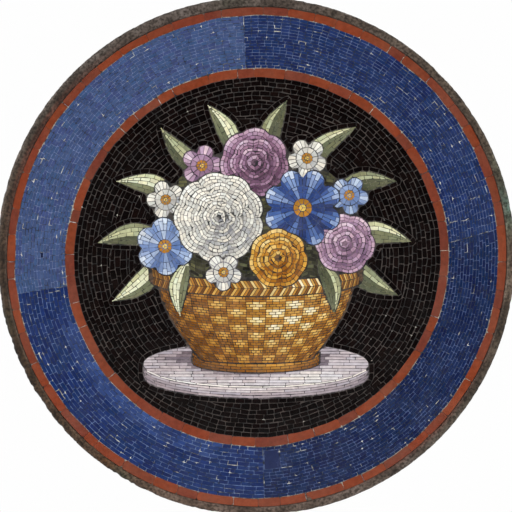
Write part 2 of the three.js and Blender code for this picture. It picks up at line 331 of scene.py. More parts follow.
def outer_blue_line(angle):
    """The band's outer edge."""
    return BLUE_OUTER + stray(angle, 0.07, 0.12, 0.03, 0.08) + 0.15 * round_noise(angle, BLUE_OUTER, 3.1, 6)


def inner_blue_line(angle):
    """The band's inner edge: laid by eye, a little oval and off centre."""
    ring = BLUE_INNER + 0.08 + stray(angle, 0.15, 0.19, 0.17, 0.13)
    return ring + 0.13 * round_noise(angle, BLUE_INNER, 3.4, 8)


def ground_line(angle):
    """The inner border's inner edge, where the black ground starts."""
    ring = GROUND_RADIUS - 0.05 + stray(angle, 0.15, 0.18, 0.21, 0.07)
    return ring + 0.13 * round_noise(angle, GROUND_RADIUS, 3.2, 9)


def line_at(line, angles, steps=1441):
    """One of these lines read at many angles."""
    turns = np.linspace(-math.pi, math.pi, steps)
    return np.interp(angles, turns, [line(turn) for turn in turns])


def patchy(x, y, length, layer):
    """Smooth noise from -1 to 1 over the picture, with patches of this length in mm."""
    return noise.noise(Vector((x / length, y / length, layer)))


def front_loops(name):
    """The closed outlines of a solid's front face, in mm, as x and up the picture."""
    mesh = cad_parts[name].data
    level = min(v.co.y for v in mesh.vertices) + 0.01 * MM
    spots = [(round(v.co.x / MM, 4), round(v.co.z / MM, 4)) for v in mesh.vertices]
    following = {}
    for face in mesh.polygons:
        if all(mesh.vertices[i].co.y < level for i in face.vertices):
            corners = [spots[i] for i in face.vertices]
            for a, b in zip(corners, corners[1:] + corners[:1]):
                if a in following.get(b, ()):
                    following[b].remove(a)
                else:
                    following.setdefault(a, []).append(b)
    loops = []
    while any(following.values()):
        here = next(a for a, ends in following.items() if ends)
        loop = []
        while following.get(here):
            loop.append(here)
            here = following[here].pop()
        if len(loop) > 2:
            loops.append(np.array(loop))
    return loops


def depth_inside(points, loops):
    """How far each point lies inside an area in mm, negative outside it."""
    starts = np.concatenate(loops)
    ends = np.concatenate([np.roll(loop, -1, axis=0) for loop in loops])
    along = ends - starts
    length = np.maximum((along ** 2).sum(1), 1e-12)
    rise = np.where(along[:, 1] == 0, 1e-12, along[:, 1])
    batch = 4000
    result = np.empty(len(points))
    for first in range(0, len(points), batch):
        p = points[first:first + batch, None, :]
        share = np.clip(((p - starts) * along).sum(2) / length, 0, 1)
        gap = np.sqrt(((starts + share[:, :, None] * along - p) ** 2).sum(2)).min(1)
        crosses = (starts[:, 1] > p[:, :, 1]) != (ends[:, 1] > p[:, :, 1])
        at = starts[:, 0] + (p[:, :, 1] - starts[:, 1]) / rise * along[:, 0]
        inside = (crosses & (p[:, :, 0] < at)).sum(1) % 2 == 1
        result[first:first + batch] = np.where(inside, gap, -gap)
    return result


pictured = [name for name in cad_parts
            if name not in ("copper_tray", "mastic_bed") and "border" not in name and "band" not in name]
pictured.sort(key=lambda name: name.startswith("black_ground"))
areas = {name: front_loops(name) for name in pictured}


def wax_tint(name):
    """The tint of the wax in one area's joints."""
    return next(colour for start, colour in JOINT_TINTS if name.startswith(start))


def joint_tints(points):
    """The tint of the joint at each point."""
    radius = np.hypot(points[:, 0], points[:, 1])
    angle = np.arctan2(points[:, 1], points[:, 0])
    ground_edge, inner_edge, outer_edge, wall = (
        line_at(line, angle) for line in (ground_line, inner_blue_line, outer_blue_line, wall_line))
    tints = np.tile(linear("#3a3531"), (len(points), 1))
    tints[radius > ground_edge] = linear(BORDER_WAX)
    in_band = (radius > inner_edge) & (radius < outer_edge)
    for first, last, tint in BLUE_SEAMS:
        tints[in_band & ((np.degrees(angle) - first) % 360 < last - first)] = linear(tint)
    beside = (abs(radius - inner_edge) < PALE_INNER) | (abs(radius - outer_edge) < PALE_OUTER)
    tints[beside] = linear(PALE_LINE)
    tints[radius > wall - 0.26] = linear("#64564a")
    for name, loops in areas.items():
        corners = np.concatenate(loops)
        near = np.flatnonzero(((points > corners.min(0) - 0.2) & (points < corners.max(0) + 0.2)).all(1))
        reach = 0.12 if name.startswith("black_ground") else 0.0
        tints[near[depth_inside(points[near], loops) > -reach]] = linear(wax_tint(name))
    tints[(radius > GROUND_RADIUS - 1) & (radius < ground_edge)] = linear(GROUND_WAX)
    tints[(radius > ground_edge) & (radius < inner_edge - PALE_INNER)] = linear(BORDER_WAX)
    return tints


def mastic_mesh():
    """The bed's rippled top, fine enough to carry the joints' tints, and its side and foot in the tray."""
    angles = np.arange(MASTIC_STEPS) * 2 * math.pi / MASTIC_STEPS
    reach = [wall_line(angle) - 0.02 for angle in angles]
    points = [(0.0, 0.0, FACE - MASTIC_DROP)]
    for ring in range(1, MASTIC_RINGS + 1):
        for angle, outer in zip(angles, reach):
            x, y = polar(outer * ring / MASTIC_RINGS, angle)
            points.append((x, y, FACE - MASTIC_DROP + MASTIC_RIPPLE * patchy(x, y, 0.9, 3)))
    points += [(*polar(outer, angle), FLOOR_TOP) for angle, outer in zip(angles, reach)]
    points.append((0, 0, FLOOR_TOP))
    foot = len(points) - 1
    faces = [(0, 1 + i, 1 + (i + 1) % MASTIC_STEPS) for i in range(MASTIC_STEPS)]
    for ring in range(MASTIC_RINGS):
        first = 1 + ring * MASTIC_STEPS
        for i in range(MASTIC_STEPS):
            j = (i + 1) % MASTIC_STEPS
            faces.append((first + i, first + MASTIC_STEPS + i, first + MASTIC_STEPS + j, first + j))
    last = 1 + MASTIC_RINGS * MASTIC_STEPS
    faces += [(last + (i + 1) % MASTIC_STEPS, last + i, foot) for i in range(MASTIC_STEPS)]
    return points, faces


def tinted_mastic():
    """Tinted wax over lime mastic: matt and finely grained, soiled, and with chalky specks."""
    material, tree, shader, place = new_material("tinted_lime_mastic")
    tint = node(tree, "ShaderNodeAttribute", attribute_name="tint", attribute_type="GEOMETRY")
    soiled = [(0.4, "#50535b"), (0.56, "#ffffff")]
    chalky = [(0.35, "#9c9c9c"), (0.6, "#ffffff")]
    colour, _ = mottled(tree, place, (tint, "Color"), 0.75, soiled, 3.0)
    colour, grain = mottled(tree, place, colour, 0.3, chalky, 5.0, 0.7)
    rough = node(tree, "ShaderNodeMapRange", {0: grain, 1: 0.3, 2: 0.7, 3: 0.75, 4: 0.95})
    grit = node(tree, "ShaderNodeBump", {"Height": grain, "Strength": 0.6, "Distance": 0.03 * MM})
    join(tree, shader, {"Base Color": colour, "Roughness": rough, "Normal": grit})
    return material


LIME_MASTIC = tinted_mastic()
mastic_points, mastic_faces = mastic_mesh()
mastic = make_piece("tinted_mastic", mastic_points, mastic_faces, LIME_MASTIC, smooth=True)
colour_points(mastic, "tint", joint_tints(np.array(mastic_points)[:, :2]))
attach(mastic, "root")
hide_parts("mastic_bed")


# ---- Outer border ----
# Rods of brick-red smalto bent in the flame to the tray's curve and set end to end in a ring along its wall.
# The reds come from several crucibles, so one block is more orange or more crimson than the next.

rng = random.Random(1820)
FACE_SCATTER = 0.012
FACE_TILT = 0.01
ARRIS = 0.02
# How far a tessera's sides are drawn below its face; the rest of it is hidden in the mastic.
SIDE_DEPTH = 0.9
SMALLEST_FACE = 0.035
OUTER_BLOCKS = 56
BORDER_JOINT = 0.035
BORDER_CHIPPING = 0.3
BORDER_SIDES = "#6c3c2d"
BORDER_REDS = ["#783827", "#73392a", "#7f3821", "#703528", "#7a3b27", "#803a22"]


def drawn_in(outline, distance):
    """An outline, counter-clockwise, moved inwards by the same distance all round."""
    result = []
    for i, (px, py) in enumerate(outline):
        ax, ay = outline[i - 1]
        bx, by = outline[(i + 1) % len(outline)]
        before = math.hypot(px - ax, py - ay) or 1e-9
        after = math.hypot(bx - px, by - py) or 1e-9
        nx, ny = (ay - py) / before, (px - ax) / before
        mx, my = (py - by) / after, (bx - px) / after
        spread = max(1 + nx * mx + ny * my, 0.55)
        result.append((px + distance * (nx + mx) / spread, py + distance * (ny + my) / spread))
    return result


def area_of(outline):
    """An outline's area, negative when it runs clockwise."""
    return sum(outline[i - 1][0] * p[1] - p[0] * outline[i - 1][1] for i, p in enumerate(outline)) / 2


def counter_clockwise(outline):
    """The same outline, turned about if it runs clockwise."""
    return outline[::-1] if area_of(outline) < 0 else outline


def knapped(outline, most):
    """Breaks each sharp corner of a tessera by a little of its own."""
    result = []
    for i, (px, py) in enumerate(outline):
        ax, ay = outline[i - 1]
        bx, by = outline[(i + 1) % len(outline)]
        before, after = math.hypot(px - ax, py - ay), math.hypot(bx - px, by - py)
        turn = (px - ax) * (by - py) - (py - ay) * (bx - px)
        if turn < 0.35 * before * after:
            result.append((px, py))
            continue
        cut = min(rng.uniform(0.02, most), 0.3 * before, 0.3 * after)
        result.append((px - (px - ax) * cut / before, py - (py - ay) * cut / before))
        result.append((px + (bx - px) * cut / after, py + (by - py) * cut / after))
    return result


class Setting:
    """The tesserae of one area, gathered before they become one mesh."""

    def __init__(self, joint, joint_tint, chipping=0.08):
        self.joint = joint
        self.chipping = chipping
        self.tint = linear(joint_tint)
        self.points, self.faces, self.colours, self.spots, self.outlines = [], [], [], [], []

    def add(self, outline, colour):
        """One tessera: its ground face, a worn arris round it and its sides going down into the mastic."""
        side = drawn_in(counter_clockwise(outline), self.joint / 2 * rng.uniform(0.6, 1.4))
        if area_of(side) < SMALLEST_FACE:
            return
        side = knapped(side, self.chipping)
        self.outlines.append(np.array(side))
        crown = drawn_in(side, ARRIS)
        if area_of(crown) < 0.4 * area_of(side):
            crown = drawn_in(side, ARRIS / 3)
        root = drawn_in(side, -self.joint * 0.3)
        cx = sum(p[0] for p in side) / len(side)
        cy = sum(p[1] for p in side) / len(side)
        level = FACE - rng.uniform(0, FACE_SCATTER)
        lean_x, lean_y = rng.gauss(0, FACE_TILT / 2), rng.gauss(0, FACE_TILT / 2)
        first, count = len(self.points), len(side)
        for ring, drop in ((crown, 0), (side, ARRIS), (side, SIDE_DEPTH)):
            for x, y in ring:
                self.points.append((x, y, level - drop + lean_x * (x - cx) + lean_y * (y - cy)))
        worn = [0.75 * c + 0.25 * t for c, t in zip(colour, self.tint)]
        self.colours += [colour] * count + [worn] * count + [self.tint] * count
        self.faces.append(tuple(range(first, first + count)))
        self.faces.append(tuple(range(first + 3 * count - 1, first + 2 * count - 1, -1)))
        # The unseen underside takes a speck of the map in a corner that nothing else uses.
        self.spots += crown + [(0.001 * x - 34.9, 0.001 * y - 34.9) for x, y in side[::-1]]
        for i in range(count):
            j = (i + 1) % count
            for ring, near, far in ((0, crown, side), (count, side, root)):
                a, b = first + ring + i, first + ring + j
                self.faces.append((a, a + count, b + count, b))
                self.spots += [near[i], far[i], far[j], near[j]]

    def lay(self, name, material, slot, *nodes):
        """Makes the area's mesh, hangs it on the root and hides the nodes that it takes the place of."""
        piece = make_piece(name, self.points, self.faces, material)
        colour_points(piece, "smalto", self.colours)
        flat = np.array(self.spots) / (2 * PANEL_RADIUS) + 0.5
        piece.data.uv_layers.new(name="OFBake").data.foreach_set("uv", flat.astype(np.float32).ravel())
        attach(piece, "root")
        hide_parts(*nodes)


def smalto(name, film, film_share, lustre=0.35):
    """Opaque glass ground flat and waxed. Each tessera is one even colour with a faint flow in it and
    pinholes where bubbles were cut through, under a thin film of old wax that dulls it in places."""
    material, tree, shader, place = new_material(name)
    glass = node(tree, "ShaderNodeAttribute", attribute_name="smalto", attribute_type="GEOMETRY")
    colour, flow = mottled(tree, place, (glass, "Color"), 0.5, [(0.3, "#dedede"), (0.7, "#ffffff")], 3.0)
    # Pinholes in such glass are a few hundredths of a millimetre; they are drawn at twice that to show.
    bubbles = node(tree, "ShaderNodeTexVoronoi", {"Vector": (place, "Object"), "Scale": per_metre(0.42)})
    pinholes = node(tree, "ShaderNodeMapRange", {0: bubbles, 1: 0.06, 2: 0.1, 3: 0.35, 4: 0.0})
    pitted = node(tree, "ShaderNodeMix", {0: pinholes, 6: colour, 7: film}, data_type="RGBA")
    old_wax = node(tree, "ShaderNodeTexNoise", {"Vector": (place, "Object"), "Scale": per_metre(3.2),
                                                "Detail": 6.0, "Roughness": 0.65})
    dulled = node(tree, "ShaderNodeMapRange", {0: old_wax, 1: 0.42, 2: 0.72, 3: 0.0, 4: film_share})
    waxed = node(tree, "ShaderNodeMix", {0: dulled, 6: (pitted, 2), 7: film}, data_type="RGBA")
    rough = node(tree, "ShaderNodeMapRange", {0: old_wax, 1: 0.35, 2: 0.7, 3: 0.17, 4: 0.28})
    ground_flat = node(tree, "ShaderNodeBump", {"Height": flow, "Strength": 0.25, "Distance": 0.01 * MM})
    join(tree, shader, {"Base Color": (waxed, 2), "Roughness": rough, "Normal": ground_flat, "IOR": 1.52,
                        "Specular IOR Level": lustre})
    return material


def varied(colour, spread):
    """A linear colour a little lighter or darker and warmer or colder, as one melt differs from the next."""
    value = 1 + rng.uniform(-spread, spread)
    warm = 1 + rng.uniform(-spread, spread) * 0.6
    return [colour[0] * value * warm, colour[1] * value, colour[2] * value / warm]


def block(inner, outer, start, end):
    """The outline of a curved block between two edges given as functions of the angle."""
    bends = [start + (end - start) * i / 5 for i in range(6)]
    return [polar(outer(a), a) for a in bends] + [polar(inner(a), a) for a in reversed(bends)]


def rim_line(angle):
    """The outer border's outer edge, against the tray's wall or a little short of it."""
    return wall_line(angle) + 0.01 - 0.12 * max(0, round_noise(angle, RIM_INNER, 3.2, 5))


def bared_gap(angle, layer):
    """How far the borders and the band stand apart, where a wide joint shows."""
    return 0.15 * max(0, round_noise(angle, BLUE_INNER, 2.6, layer) - 0.12)


BRICK_RED = smalto("brick_red_smalto_ground_flat", "#93664f", 0.16)
block_ends = []


def lay_border(border, blocks, inner, outer):
    """Sets one ring of blocks whose lengths vary a little."""
    setting = Setting(BORDER_JOINT, BORDER_SIDES, BORDER_CHIPPING)
    cuts = [2 * math.pi * (i + rng.uniform(-0.3, 0.3)) / blocks for i in range(blocks)]
    block_ends.extend((inner, outer, cut) for cut in cuts)
    for start, end in zip(cuts, cuts[1:] + [cuts[0] + 2 * math.pi]):
        near, far = rng.uniform(-0.05, 0.04), rng.uniform(-0.04, 0.0)
        outline = block(lambda a: inner(a) + near, lambda a: outer(a) + far, start, end)
        setting.add(outline, varied(linear(rng.choice(BORDER_REDS)), 0.06))
    setting.lay(border + "_blocks", BRICK_RED, "brick_red_smalti", border)


lay_border("outer_border", OUTER_BLOCKS, lambda a: outer_blue_line(a) + bared_gap(a, 31), rim_line)


# ---- Blue band ----
# Some 2,800 small tesserae of blue smalto in rings 0.4 to 0.5 mm wide, pushed into the mastic one by one.
# They came in four lots, so the blue and the rings' width change at a straight seam from lot to lot. The
# upper-left lot's pale, milky blue is partly its own glass and partly painted sheen.

# Each lot: its quarter, rings, tessera length in mm, how often a ring keeps the joints of the one before, its
# blues and its slot.
BLUE_LOTS = [
    ("upper_right", 17, 0.98, 0.7, ["#192a58", "#1a2f5e", "#192654", "#1f3163"], "bright_blue_smalti"),
    # The upper-left lot's pale blues carry a painted sheen over the lot's own blue.
    ("upper_left", 16, 0.92, 0.5, ["#3d4e77", "#3c527a", "#3e4b78", "#435680"], "pale_blue_smalti"),
    ("lower_left", 13, 1.3, 0.15, ["#102558", "#112a5c", "#122254", "#182d64"], "mid_blue_smalti"),
    ("lower_right", 16, 1.0, 0.5, ["#0d1c45", "#0e224a", "#0f1942", "#12244f"], "navy_smalti"),
]
BAND_JOINT = 0.07
RING_WAVER = 0.035
PATCH_SIZE = 3.6
# No tessera is shorter than this share of its row's usual one.
SHORTEST = 0.3
# In the third lot the innermost rings are paler between two angles.
PALE_STREAK = ["#1f2f5f", "#2c4176", "#3d5690"]
STREAK_SPAN = (199, 257)
STREAK_RINGS = 4
# The rows lean over beside the right-hand seam, by this many degrees there and less up to 25 degrees away.
SEAM_AT_RIGHT = 4
SEAM_LEAN = 2.4
SEAM_REACH = 25
# One dark tessera has strayed into the pale lot.
ODD_TESSERA = (-28.9, 0.35)
ODD_RING = 7
ODD_BLUE = "#11183a"
# Losses filled with one plain dark piece: lot, first ring, the ring past the last, first and last angle.
FILLS = [(3, 1, 7, 272.3, 276.8), (3, 13, 15, 361.3, 363.9)]
FILL_BLUE = "#18224a"
lots_laid = []
# Vector noise starts from the clock unless it is seeded, and every run has to lay the same panel.
noise.seed_set(1820)


def settle(x, y, amount=0.05, length=1.6):
    """Moves a corner a little, as the setter's hand does, its neighbours with it."""
    push = noise.noise_vector(Vector((x / length, y / length, 5.5)))
    return x + amount * push.x, y + amount * push.y


def tone(palette, share):
    """A colour between the palette's first and last, in linear light."""
    place = min(max(share, 0), 0.9999) * (len(palette) - 1)
    low = int(place)
    return mixed(linear(palette[low]), linear(palette[low + 1]), place - low)


def lay_lot(setting, lot, first, last, rings, length, kept, blues):
    """Sets one lot ring by ring, from the band's inner edge outwards."""
    start, end = math.radians(first), math.radians(last)
    count = round((end - start) * (BLUE_INNER + BLUE_OUTER) / 2 / length)
    pitch = (end - start) / count
    shortest = SHORTEST * pitch
    layer = 20 + 30 * lot

    def spot(ring, angle):
        """A point on the line below this ring."""
        beside = abs((math.degrees(angle) - SEAM_AT_RIGHT + 180) % 360 - 180)
        angle += math.radians(SEAM_LEAN) * max(0, 1 - beside / SEAM_REACH) * ring / rings
        inner, outer = inner_blue_line(angle), outer_blue_line(angle)
        if not 0 < ring < rings:
            return polar(inner + (outer - inner) * ring / rings, angle)
        waver = RING_WAVER * round_noise(angle, 29, 2.2, layer + ring)
        x, y = polar(inner + (outer - inner) * ring / rings + waver, angle)
        return settle(x, y, 0.045, 0.7)

    def blue_at(x, y, ring, angle):
        """The blue of one tessera: patches of a few together come from one stick of glass."""
        patch = patchy(x, y, PATCH_SIZE, layer) * 1.6 + 0.5 + rng.uniform(-0.2, 0.2)
        if lot == 2 and ring < STREAK_RINGS and STREAK_SPAN[0] < math.degrees(angle) < STREAK_SPAN[1]:
            return tone(PALE_STREAK, 0.5 + 0.8 * patchy(x, y, 2.2, 9) - 0.12 * ring)
        if math.dist((x, y), ODD_TESSERA) < 0.5 and ring == ODD_RING:
            return linear(ODD_BLUE)
        return linear(blues[int(patch * len(blues)) % len(blues)])

    fills = [(low, high, math.radians(a), math.radians(b)) for at, low, high, a, b in FILLS if at == lot]
    rows = []
    lots_laid.append((spot, rows))
    shift = 0.0
    for ring in range(rings):
        if ring == 0 or rng.random() > kept:
            shift = (shift + rng.choice([0.5, 0.35, 0.65])) % 1
            wander = [rng.uniform(-0.13, 0.13) for _ in range(count + 2)]
        cuts = [start + pitch * (i + shift + wander[i + 1] + rng.uniform(-0.07, 0.07))
                for i in range(-1, count + 1)]
        cuts = [start] + [c for c in cuts if start + shortest < c < end - shortest] + [end]
        filled = [(a, b) for low, high, a, b in fills if low <= ring < high]
        for a, b in filled:
            cuts = sorted([c for c in cuts if not a - shortest < c < b + shortest] + [a, b])
        rows.append(cuts)
        for a, b in zip(cuts, cuts[1:]):
            if (a, b) not in filled:
                outline = [spot(ring, a), spot(ring, b), spot(ring + 1, b), spot(ring + 1, a)]
                setting.add(outline, varied(blue_at(*outline[0], ring, a), 0.06))
    for low, high, a, b in fills:
        bends = [a + (b - a) * i / 8 for i in range(9)]
        outline = [spot(low, t) for t in bends] + [spot(high, t) for t in bends[::-1]]
        setting.add(outline, linear(FILL_BLUE))


BLUE_SMALTO = smalto("blue_smalto_ground_flat", "#64759b", 0.06)
for lot, (quarter, rings, length, kept, blues, slot) in enumerate(BLUE_LOTS):
    first, last, tint = BLUE_SEAMS[lot]
    setting = Setting(BAND_JOINT, tint)
    lay_lot(setting, lot, first, last, rings, length, kept, blues)
    setting.lay(f"blue_band_{quarter}_tesserae", BLUE_SMALTO, slot, "blue_band_" + quarter)


# ---- Inner border ----
# The same brick-red rods bent to a smaller ring between the blue band and the picture. It is set by eye, so
# it is not quite round.

INNER_BLOCKS = 44

lay_border("inner_border", INNER_BLOCKS, ground_line, lambda a: inner_blue_line(a) - bared_gap(a, 37))


# ---- Black ground ----
# Near-black tesserae, 0.6 mm by about 1.2 mm. One row follows the figure, the rest run in arcs from the
# border inwards, and chips nipped to size fill what is left. Dark wax makes the joints fine grey-brown lines.

GROUND_ROW = 0.62
GROUND_LENGTH = 1.18
GROUND_JOINT = 0.09
GROUND_BLACKS = ["#080202", "#0c0303", "#060101", "#0f0504", "#080202"]
# The grid on which distances from the figure are kept, and how finely a row's path is divided.
GRID_STEP = 0.14
GRID_HALF = 25.2
FINE_STEP = 0.15
# The finer grid on which bare spots are looked for.
BARE_STEP = 0.07


def clipped(outline, values):
    """The part of an outline where values, one for each corner, are above zero."""
    result = []
    for i, point in enumerate(outline):
        a, b = values[i - 1], values[i]
        if (a > 0) != (b > 0):
            before = outline[i - 1]
            result.append(tuple(mixed(before, point, a / (a - b))))
        if b > 0:
            result.append(point)
    return result


def with_midpoints(outline, longest=0.45):
    """The same outline with extra points along its longer sides."""
    result = []
    for i, (bx, by) in enumerate(outline):
        ax, ay = outline[i - 1]
        pieces = max(1, math.ceil(math.hypot(bx - ax, by - ay) / longest))
        for k in range(1, pieces + 1):
            result.append((ax + (bx - ax) * k / pieces, ay + (by - ay) * k / pieces))
    return result


ground_loops = areas["black_ground"]
ground_rim = max(ground_loops, key=lambda loop: np.hypot(loop[:, 0], loop[:, 1]).max())
figure_loops = [loop for loop in ground_loops if loop is not ground_rim]
axis = np.arange(-GRID_HALF, GRID_HALF + GRID_STEP, GRID_STEP)
grid_points = np.array([(x, y) for y in axis for x in axis])
# Distance from the figure, counted from the middle of the joint round it.
away = -depth_inside(grid_points, figure_loops).reshape(len(axis), len(axis)) + 0.1


def away_at(x, y):
    """Distance from the figure at one place, read between the grid's points."""
    u, v = (x + GRID_HALF) / GRID_STEP, (y + GRID_HALF) / GRID_STEP
    i, j = min(int(u), len(axis) - 2), min(int(v), len(axis) - 2)
    fu, fv = u - i, v - j
    low = away[j, i] * (1 - fu) + away[j, i + 1] * fu
    high = away[j + 1, i] * (1 - fu) + away[j + 1, i + 1] * fu
    return low * (1 - fv) + high * fv


def level_lines(level):
    """The lines at one distance from the figure, followed from cell to cell of the grid."""
    links = {}

    def crossing(key):
        (i, j), (k, l) = key
        a, b = away[j, i] - level, away[l, k] - level
        share = a / (a - b)
        return tuple(-GRID_HALF + GRID_STEP * (a + (b - a) * share) for a, b in ((i, k), (j, l)))

    above = away > level
    mixed_cells = above[:-1, :-1].astype(int) + above[1:, :-1] + above[:-1, 1:] + above[1:, 1:]
    for j, i in zip(*np.nonzero((mixed_cells > 0) & (mixed_cells < 4))):
        ring = [(i, j), (i + 1, j), (i + 1, j + 1), (i, j + 1)]
        edges = [tuple(sorted((a, b))) for a, b in zip([ring[-1]] + ring, ring)
                 if above[a[1], a[0]] != above[b[1], b[0]]]
        for a, b in zip(edges[::2], edges[1::2]):
            links.setdefault(a, []).append(b)
            links.setdefault(b, []).append(a)
    lines = []
    while links:
        key = next(iter(links))
        line = []
        while key in links:
            line.append(crossing(key))
            onward = links.pop(key)
            key = next((k for k in onward if k in links), None)
        if len(line) > 12:
            lines.append(np.array(line))
    return lines


def smoothed(line):
    """A closed line softened and divided evenly; each point has the direction away from the figure."""
    for _ in range(4):
        line = (np.roll(line, 1, axis=0) + 2 * line + np.roll(line, -1, axis=0)) / 4
    closed = np.vstack([line, line[:1]])
    run = np.concatenate([[0], np.cumsum(np.hypot(*np.diff(closed, axis=0).T))])
    stations = np.linspace(0, run[-1], max(9, round(run[-1] / FINE_STEP)), endpoint=False)
    step = 0.12
    result = []
    for x, y in zip(np.interp(stations, run, closed[:, 0]), np.interp(stations, run, closed[:, 1])):
        gx = away_at(x + step, y) - away_at(x - step, y)
        gy = away_at(x, y + step) - away_at(x, y - step)
        size = math.hypot(gx, gy) or 1
        result.append((x, y, gx / size, gy / size))
    return result


ground = Setting(GROUND_JOINT, GROUND_WAX, chipping=0.24)
ground_corners = []


def to_border(x, y):
    """How far a place lies inside the inner border."""
    return ground_line(math.atan2(y, x)) - math.hypot(x, y)


def unsettled(x, y):
    """The hand's small unevenness, dying away at the border."""
    return settle(x, y, 0.15 * min(1, max(0, to_border(x, y)) / 0.6), 0.8)


def black():
    """The black of one tessera."""
    return varied(linear(rng.choice(GROUND_BLACKS)), 0.15)


def follow_figure():
    """The row that outlines the figure."""
    half = GROUND_ROW / 2
    for line in level_lines(half):
        points = smoothed(line)
        count = max(1, round(len(points) * FINE_STEP / GROUND_LENGTH))
        cuts = [round(len(points) * (i + rng.uniform(-0.14, 0.14)) / count) for i in range(count)]
        for first, last in zip(cuts, cuts[1:] + [cuts[0] + len(points)]):
            path = [points[k % len(points)] for k in range(first, last + 1)]
            outline = [(x - nx * half, y - ny * half) for x, y, nx, ny in path]
            outline += [(x + nx * half, y + ny * half) for x, y, nx, ny in reversed(path)]
            kept = clipped(outline, [away_at(x, y) for x, y in outline])
            kept = clipped(kept, [to_border(x, y) for x, y in kept])
            if len(kept) > 2 and area_of(kept) != 0:
                ground.add(kept, black())


def row_line(row, angle):
    """The line above a row of the ground, counted from the border inwards."""
    sway = min(0.05 * row, 0.4) * round_noise(angle, 14, 6, 11 + 0.12 * row)
    return ground_line(angle) - row * GROUND_ROW + sway


def lay_arc(row, begin, reach, middle, whole):
    """One stretch of a row, its tesserae cut where they meet the row that follows the figure."""
    count = max(1, round(reach * middle / GROUND_LENGTH))
    cuts = [begin + reach * (i + (rng.uniform(-0.15, 0.15) if 0 < i < count else 0)) / count
            for i in range(count + 1)]
    if not whole:
        cuts[0] -= 0.35 / middle
        cuts[-1] += 0.35 / middle
    for a, b in zip(cuts, cuts[1:]):
        corners = ((row + 1, a), (row + 1, b), (row, b), (row, a))
        outline = counter_clockwise([unsettled(*polar(row_line(line, t), t)) for line, t in corners])
        dense = with_midpoints(outline)
        kept = clipped(dense, [away_at(x, y) - GROUND_ROW for x, y in dense])
        if len(kept) > 2 and area_of(kept) > 0.1:
            ground.add(kept, black())
            ground_corners.append(outline[0])


def fill_arcs():
    """The rows in arcs from the border inwards."""
    for row in range(int(GROUND_RADIUS / GROUND_ROW) - 1):
        turn = rng.uniform(0, 1)
        middle = GROUND_RADIUS - (row + 0.5) * GROUND_ROW
        fine = max(24, round(2 * math.pi * middle / 0.1))
        angles = [2 * math.pi * (i + turn) / fine for i in range(fine)]
        free = []
        for angle in angles:
            r = (row_line(row, angle) + row_line(row + 1, angle)) / 2
            free.append(away_at(*polar(r, angle)) > GROUND_ROW * 1.02)
        starts = [i for i in range(fine) if free[i] and not free[i - 1]] or ([0] if free[0] else [])
        for first in starts:
            span = 1
            while span < fine and free[(first + span) % fine]:
                span += 1
            begin = angles[first] - math.pi / fine
            lay_arc(row, begin, 2 * math.pi * span / fine, middle, whole=span == fine)


def cells_inside(outline, x, y):
    """Which of the grid's points lie inside an outline."""
    inside = np.zeros(x.shape, bool)
    for (ax, ay), (bx, by) in zip(outline, np.roll(outline, -1, axis=0)):
        if ay != by:
            inside ^= ((y < ay) != (y < by)) & (x < (bx - ax) * (y - ay) / (by - ay) + ax)
    return inside


def fill_gaps():
    """Chips nipped to the spots that the rows have left bare, the widest first."""
    step = BARE_STEP
    line = np.arange(-GRID_HALF + 0.3, GRID_HALF - 0.3, step)
    x, y = np.meshgrid(line, line)
    spots = np.column_stack([x.ravel(), y.ravel()])
    cell = np.clip(((spots + GRID_HALF) / GRID_STEP + 0.5).astype(int), 0, len(axis) - 1)
    edge = line_at(ground_line, np.arctan2(y, x), 721)
    open_cells = (away[cell[:, 1], cell[:, 0]] > 0.06).reshape(x.shape) & (np.hypot(x, y) < edge - 0.1)

    def cover(outline):
        low = np.maximum(((outline.min(0) - line[0]) / step).astype(int), 0)
        high = ((outline.max(0) - line[0]) / step).astype(int) + 2
        window = (slice(low[1], high[1]), slice(low[0], high[0]))
        open_cells[window] &= ~cells_inside(outline, x[window], y[window])

    def is_open(i, j, run, turn):
        return open_cells[j + round(run * math.sin(turn) / step), i + round(run * math.cos(turn) / step)]

    for outline in ground.outlines:
        cover(outline)
    for _ in range(3):
        depth = open_cells.astype(np.int8)
        layer = open_cells.copy()
        for _ in range(9):
            layer[1:-1, 1:-1] &= layer[2:, 1:-1] & layer[:-2, 1:-1] & layer[1:-1, 2:] & layer[1:-1, :-2]
            depth += layer
        deep = np.argwhere(depth >= 3)
        for j, i in deep[np.argsort(-depth[deep[:, 0], deep[:, 1]], kind="stable")]:
            if not open_cells[j, i]:
                continue
            reach = min(1.9 * (depth[j, i] * step), 0.75)
            outline = []
            for turn in (2 * math.pi * k / 10 for k in range(10)):
                run = 0.0
                while run < reach:
                    run += 0.03
                    if not is_open(i, j, run, turn):
                        break
                outline.append(polar(run, turn, line[i], line[j]))
            if area_of(outline) > 0.08:
                ground.add(outline, black())
                cover(np.array(outline))


follow_figure()
fill_arcs()
fill_gaps()
BLACK_SMALTO = smalto("black_smalto_ground_flat", "#332b28", 0.03, lustre=0.24)
ground_nodes = sorted(name for name in areas if name.startswith("black_ground"))
ground.lay("black_ground_tesserae", BLACK_SMALTO, "black_smalti", *ground_nodes)


# ---- Stone plinth ----
# The picture's foot: an oval slab of pale lilac marble, laid as very long thin rods of smalto side by side,
# with a cream arris and a greyer edge. The basket's shadow falls on it to the left.

PLINTH = {"x": 0, "y": -14.6, "half_width": 15.2, "half_depth": 2.9, "edge": 1.7}
# The basket's foot ring, which darkens the slab round it.
BASKET_FOOT = {"y": -13.7, "half_width": 8.6, "height": 1.5, "sag": 1.3}
ROD = 0.38
EDGE_ROD = 0.34
MARBLE = ["#4d4248", "#85777f", "#ab9fa6", "#cbc0c4", "#e3dbdb", "#f6f1ea"]
PICTURE_JOINT = 0.07
# How far a tessera may pass its area's line, so that neighbouring areas meet at a joint.
OVERLAP = 0.1


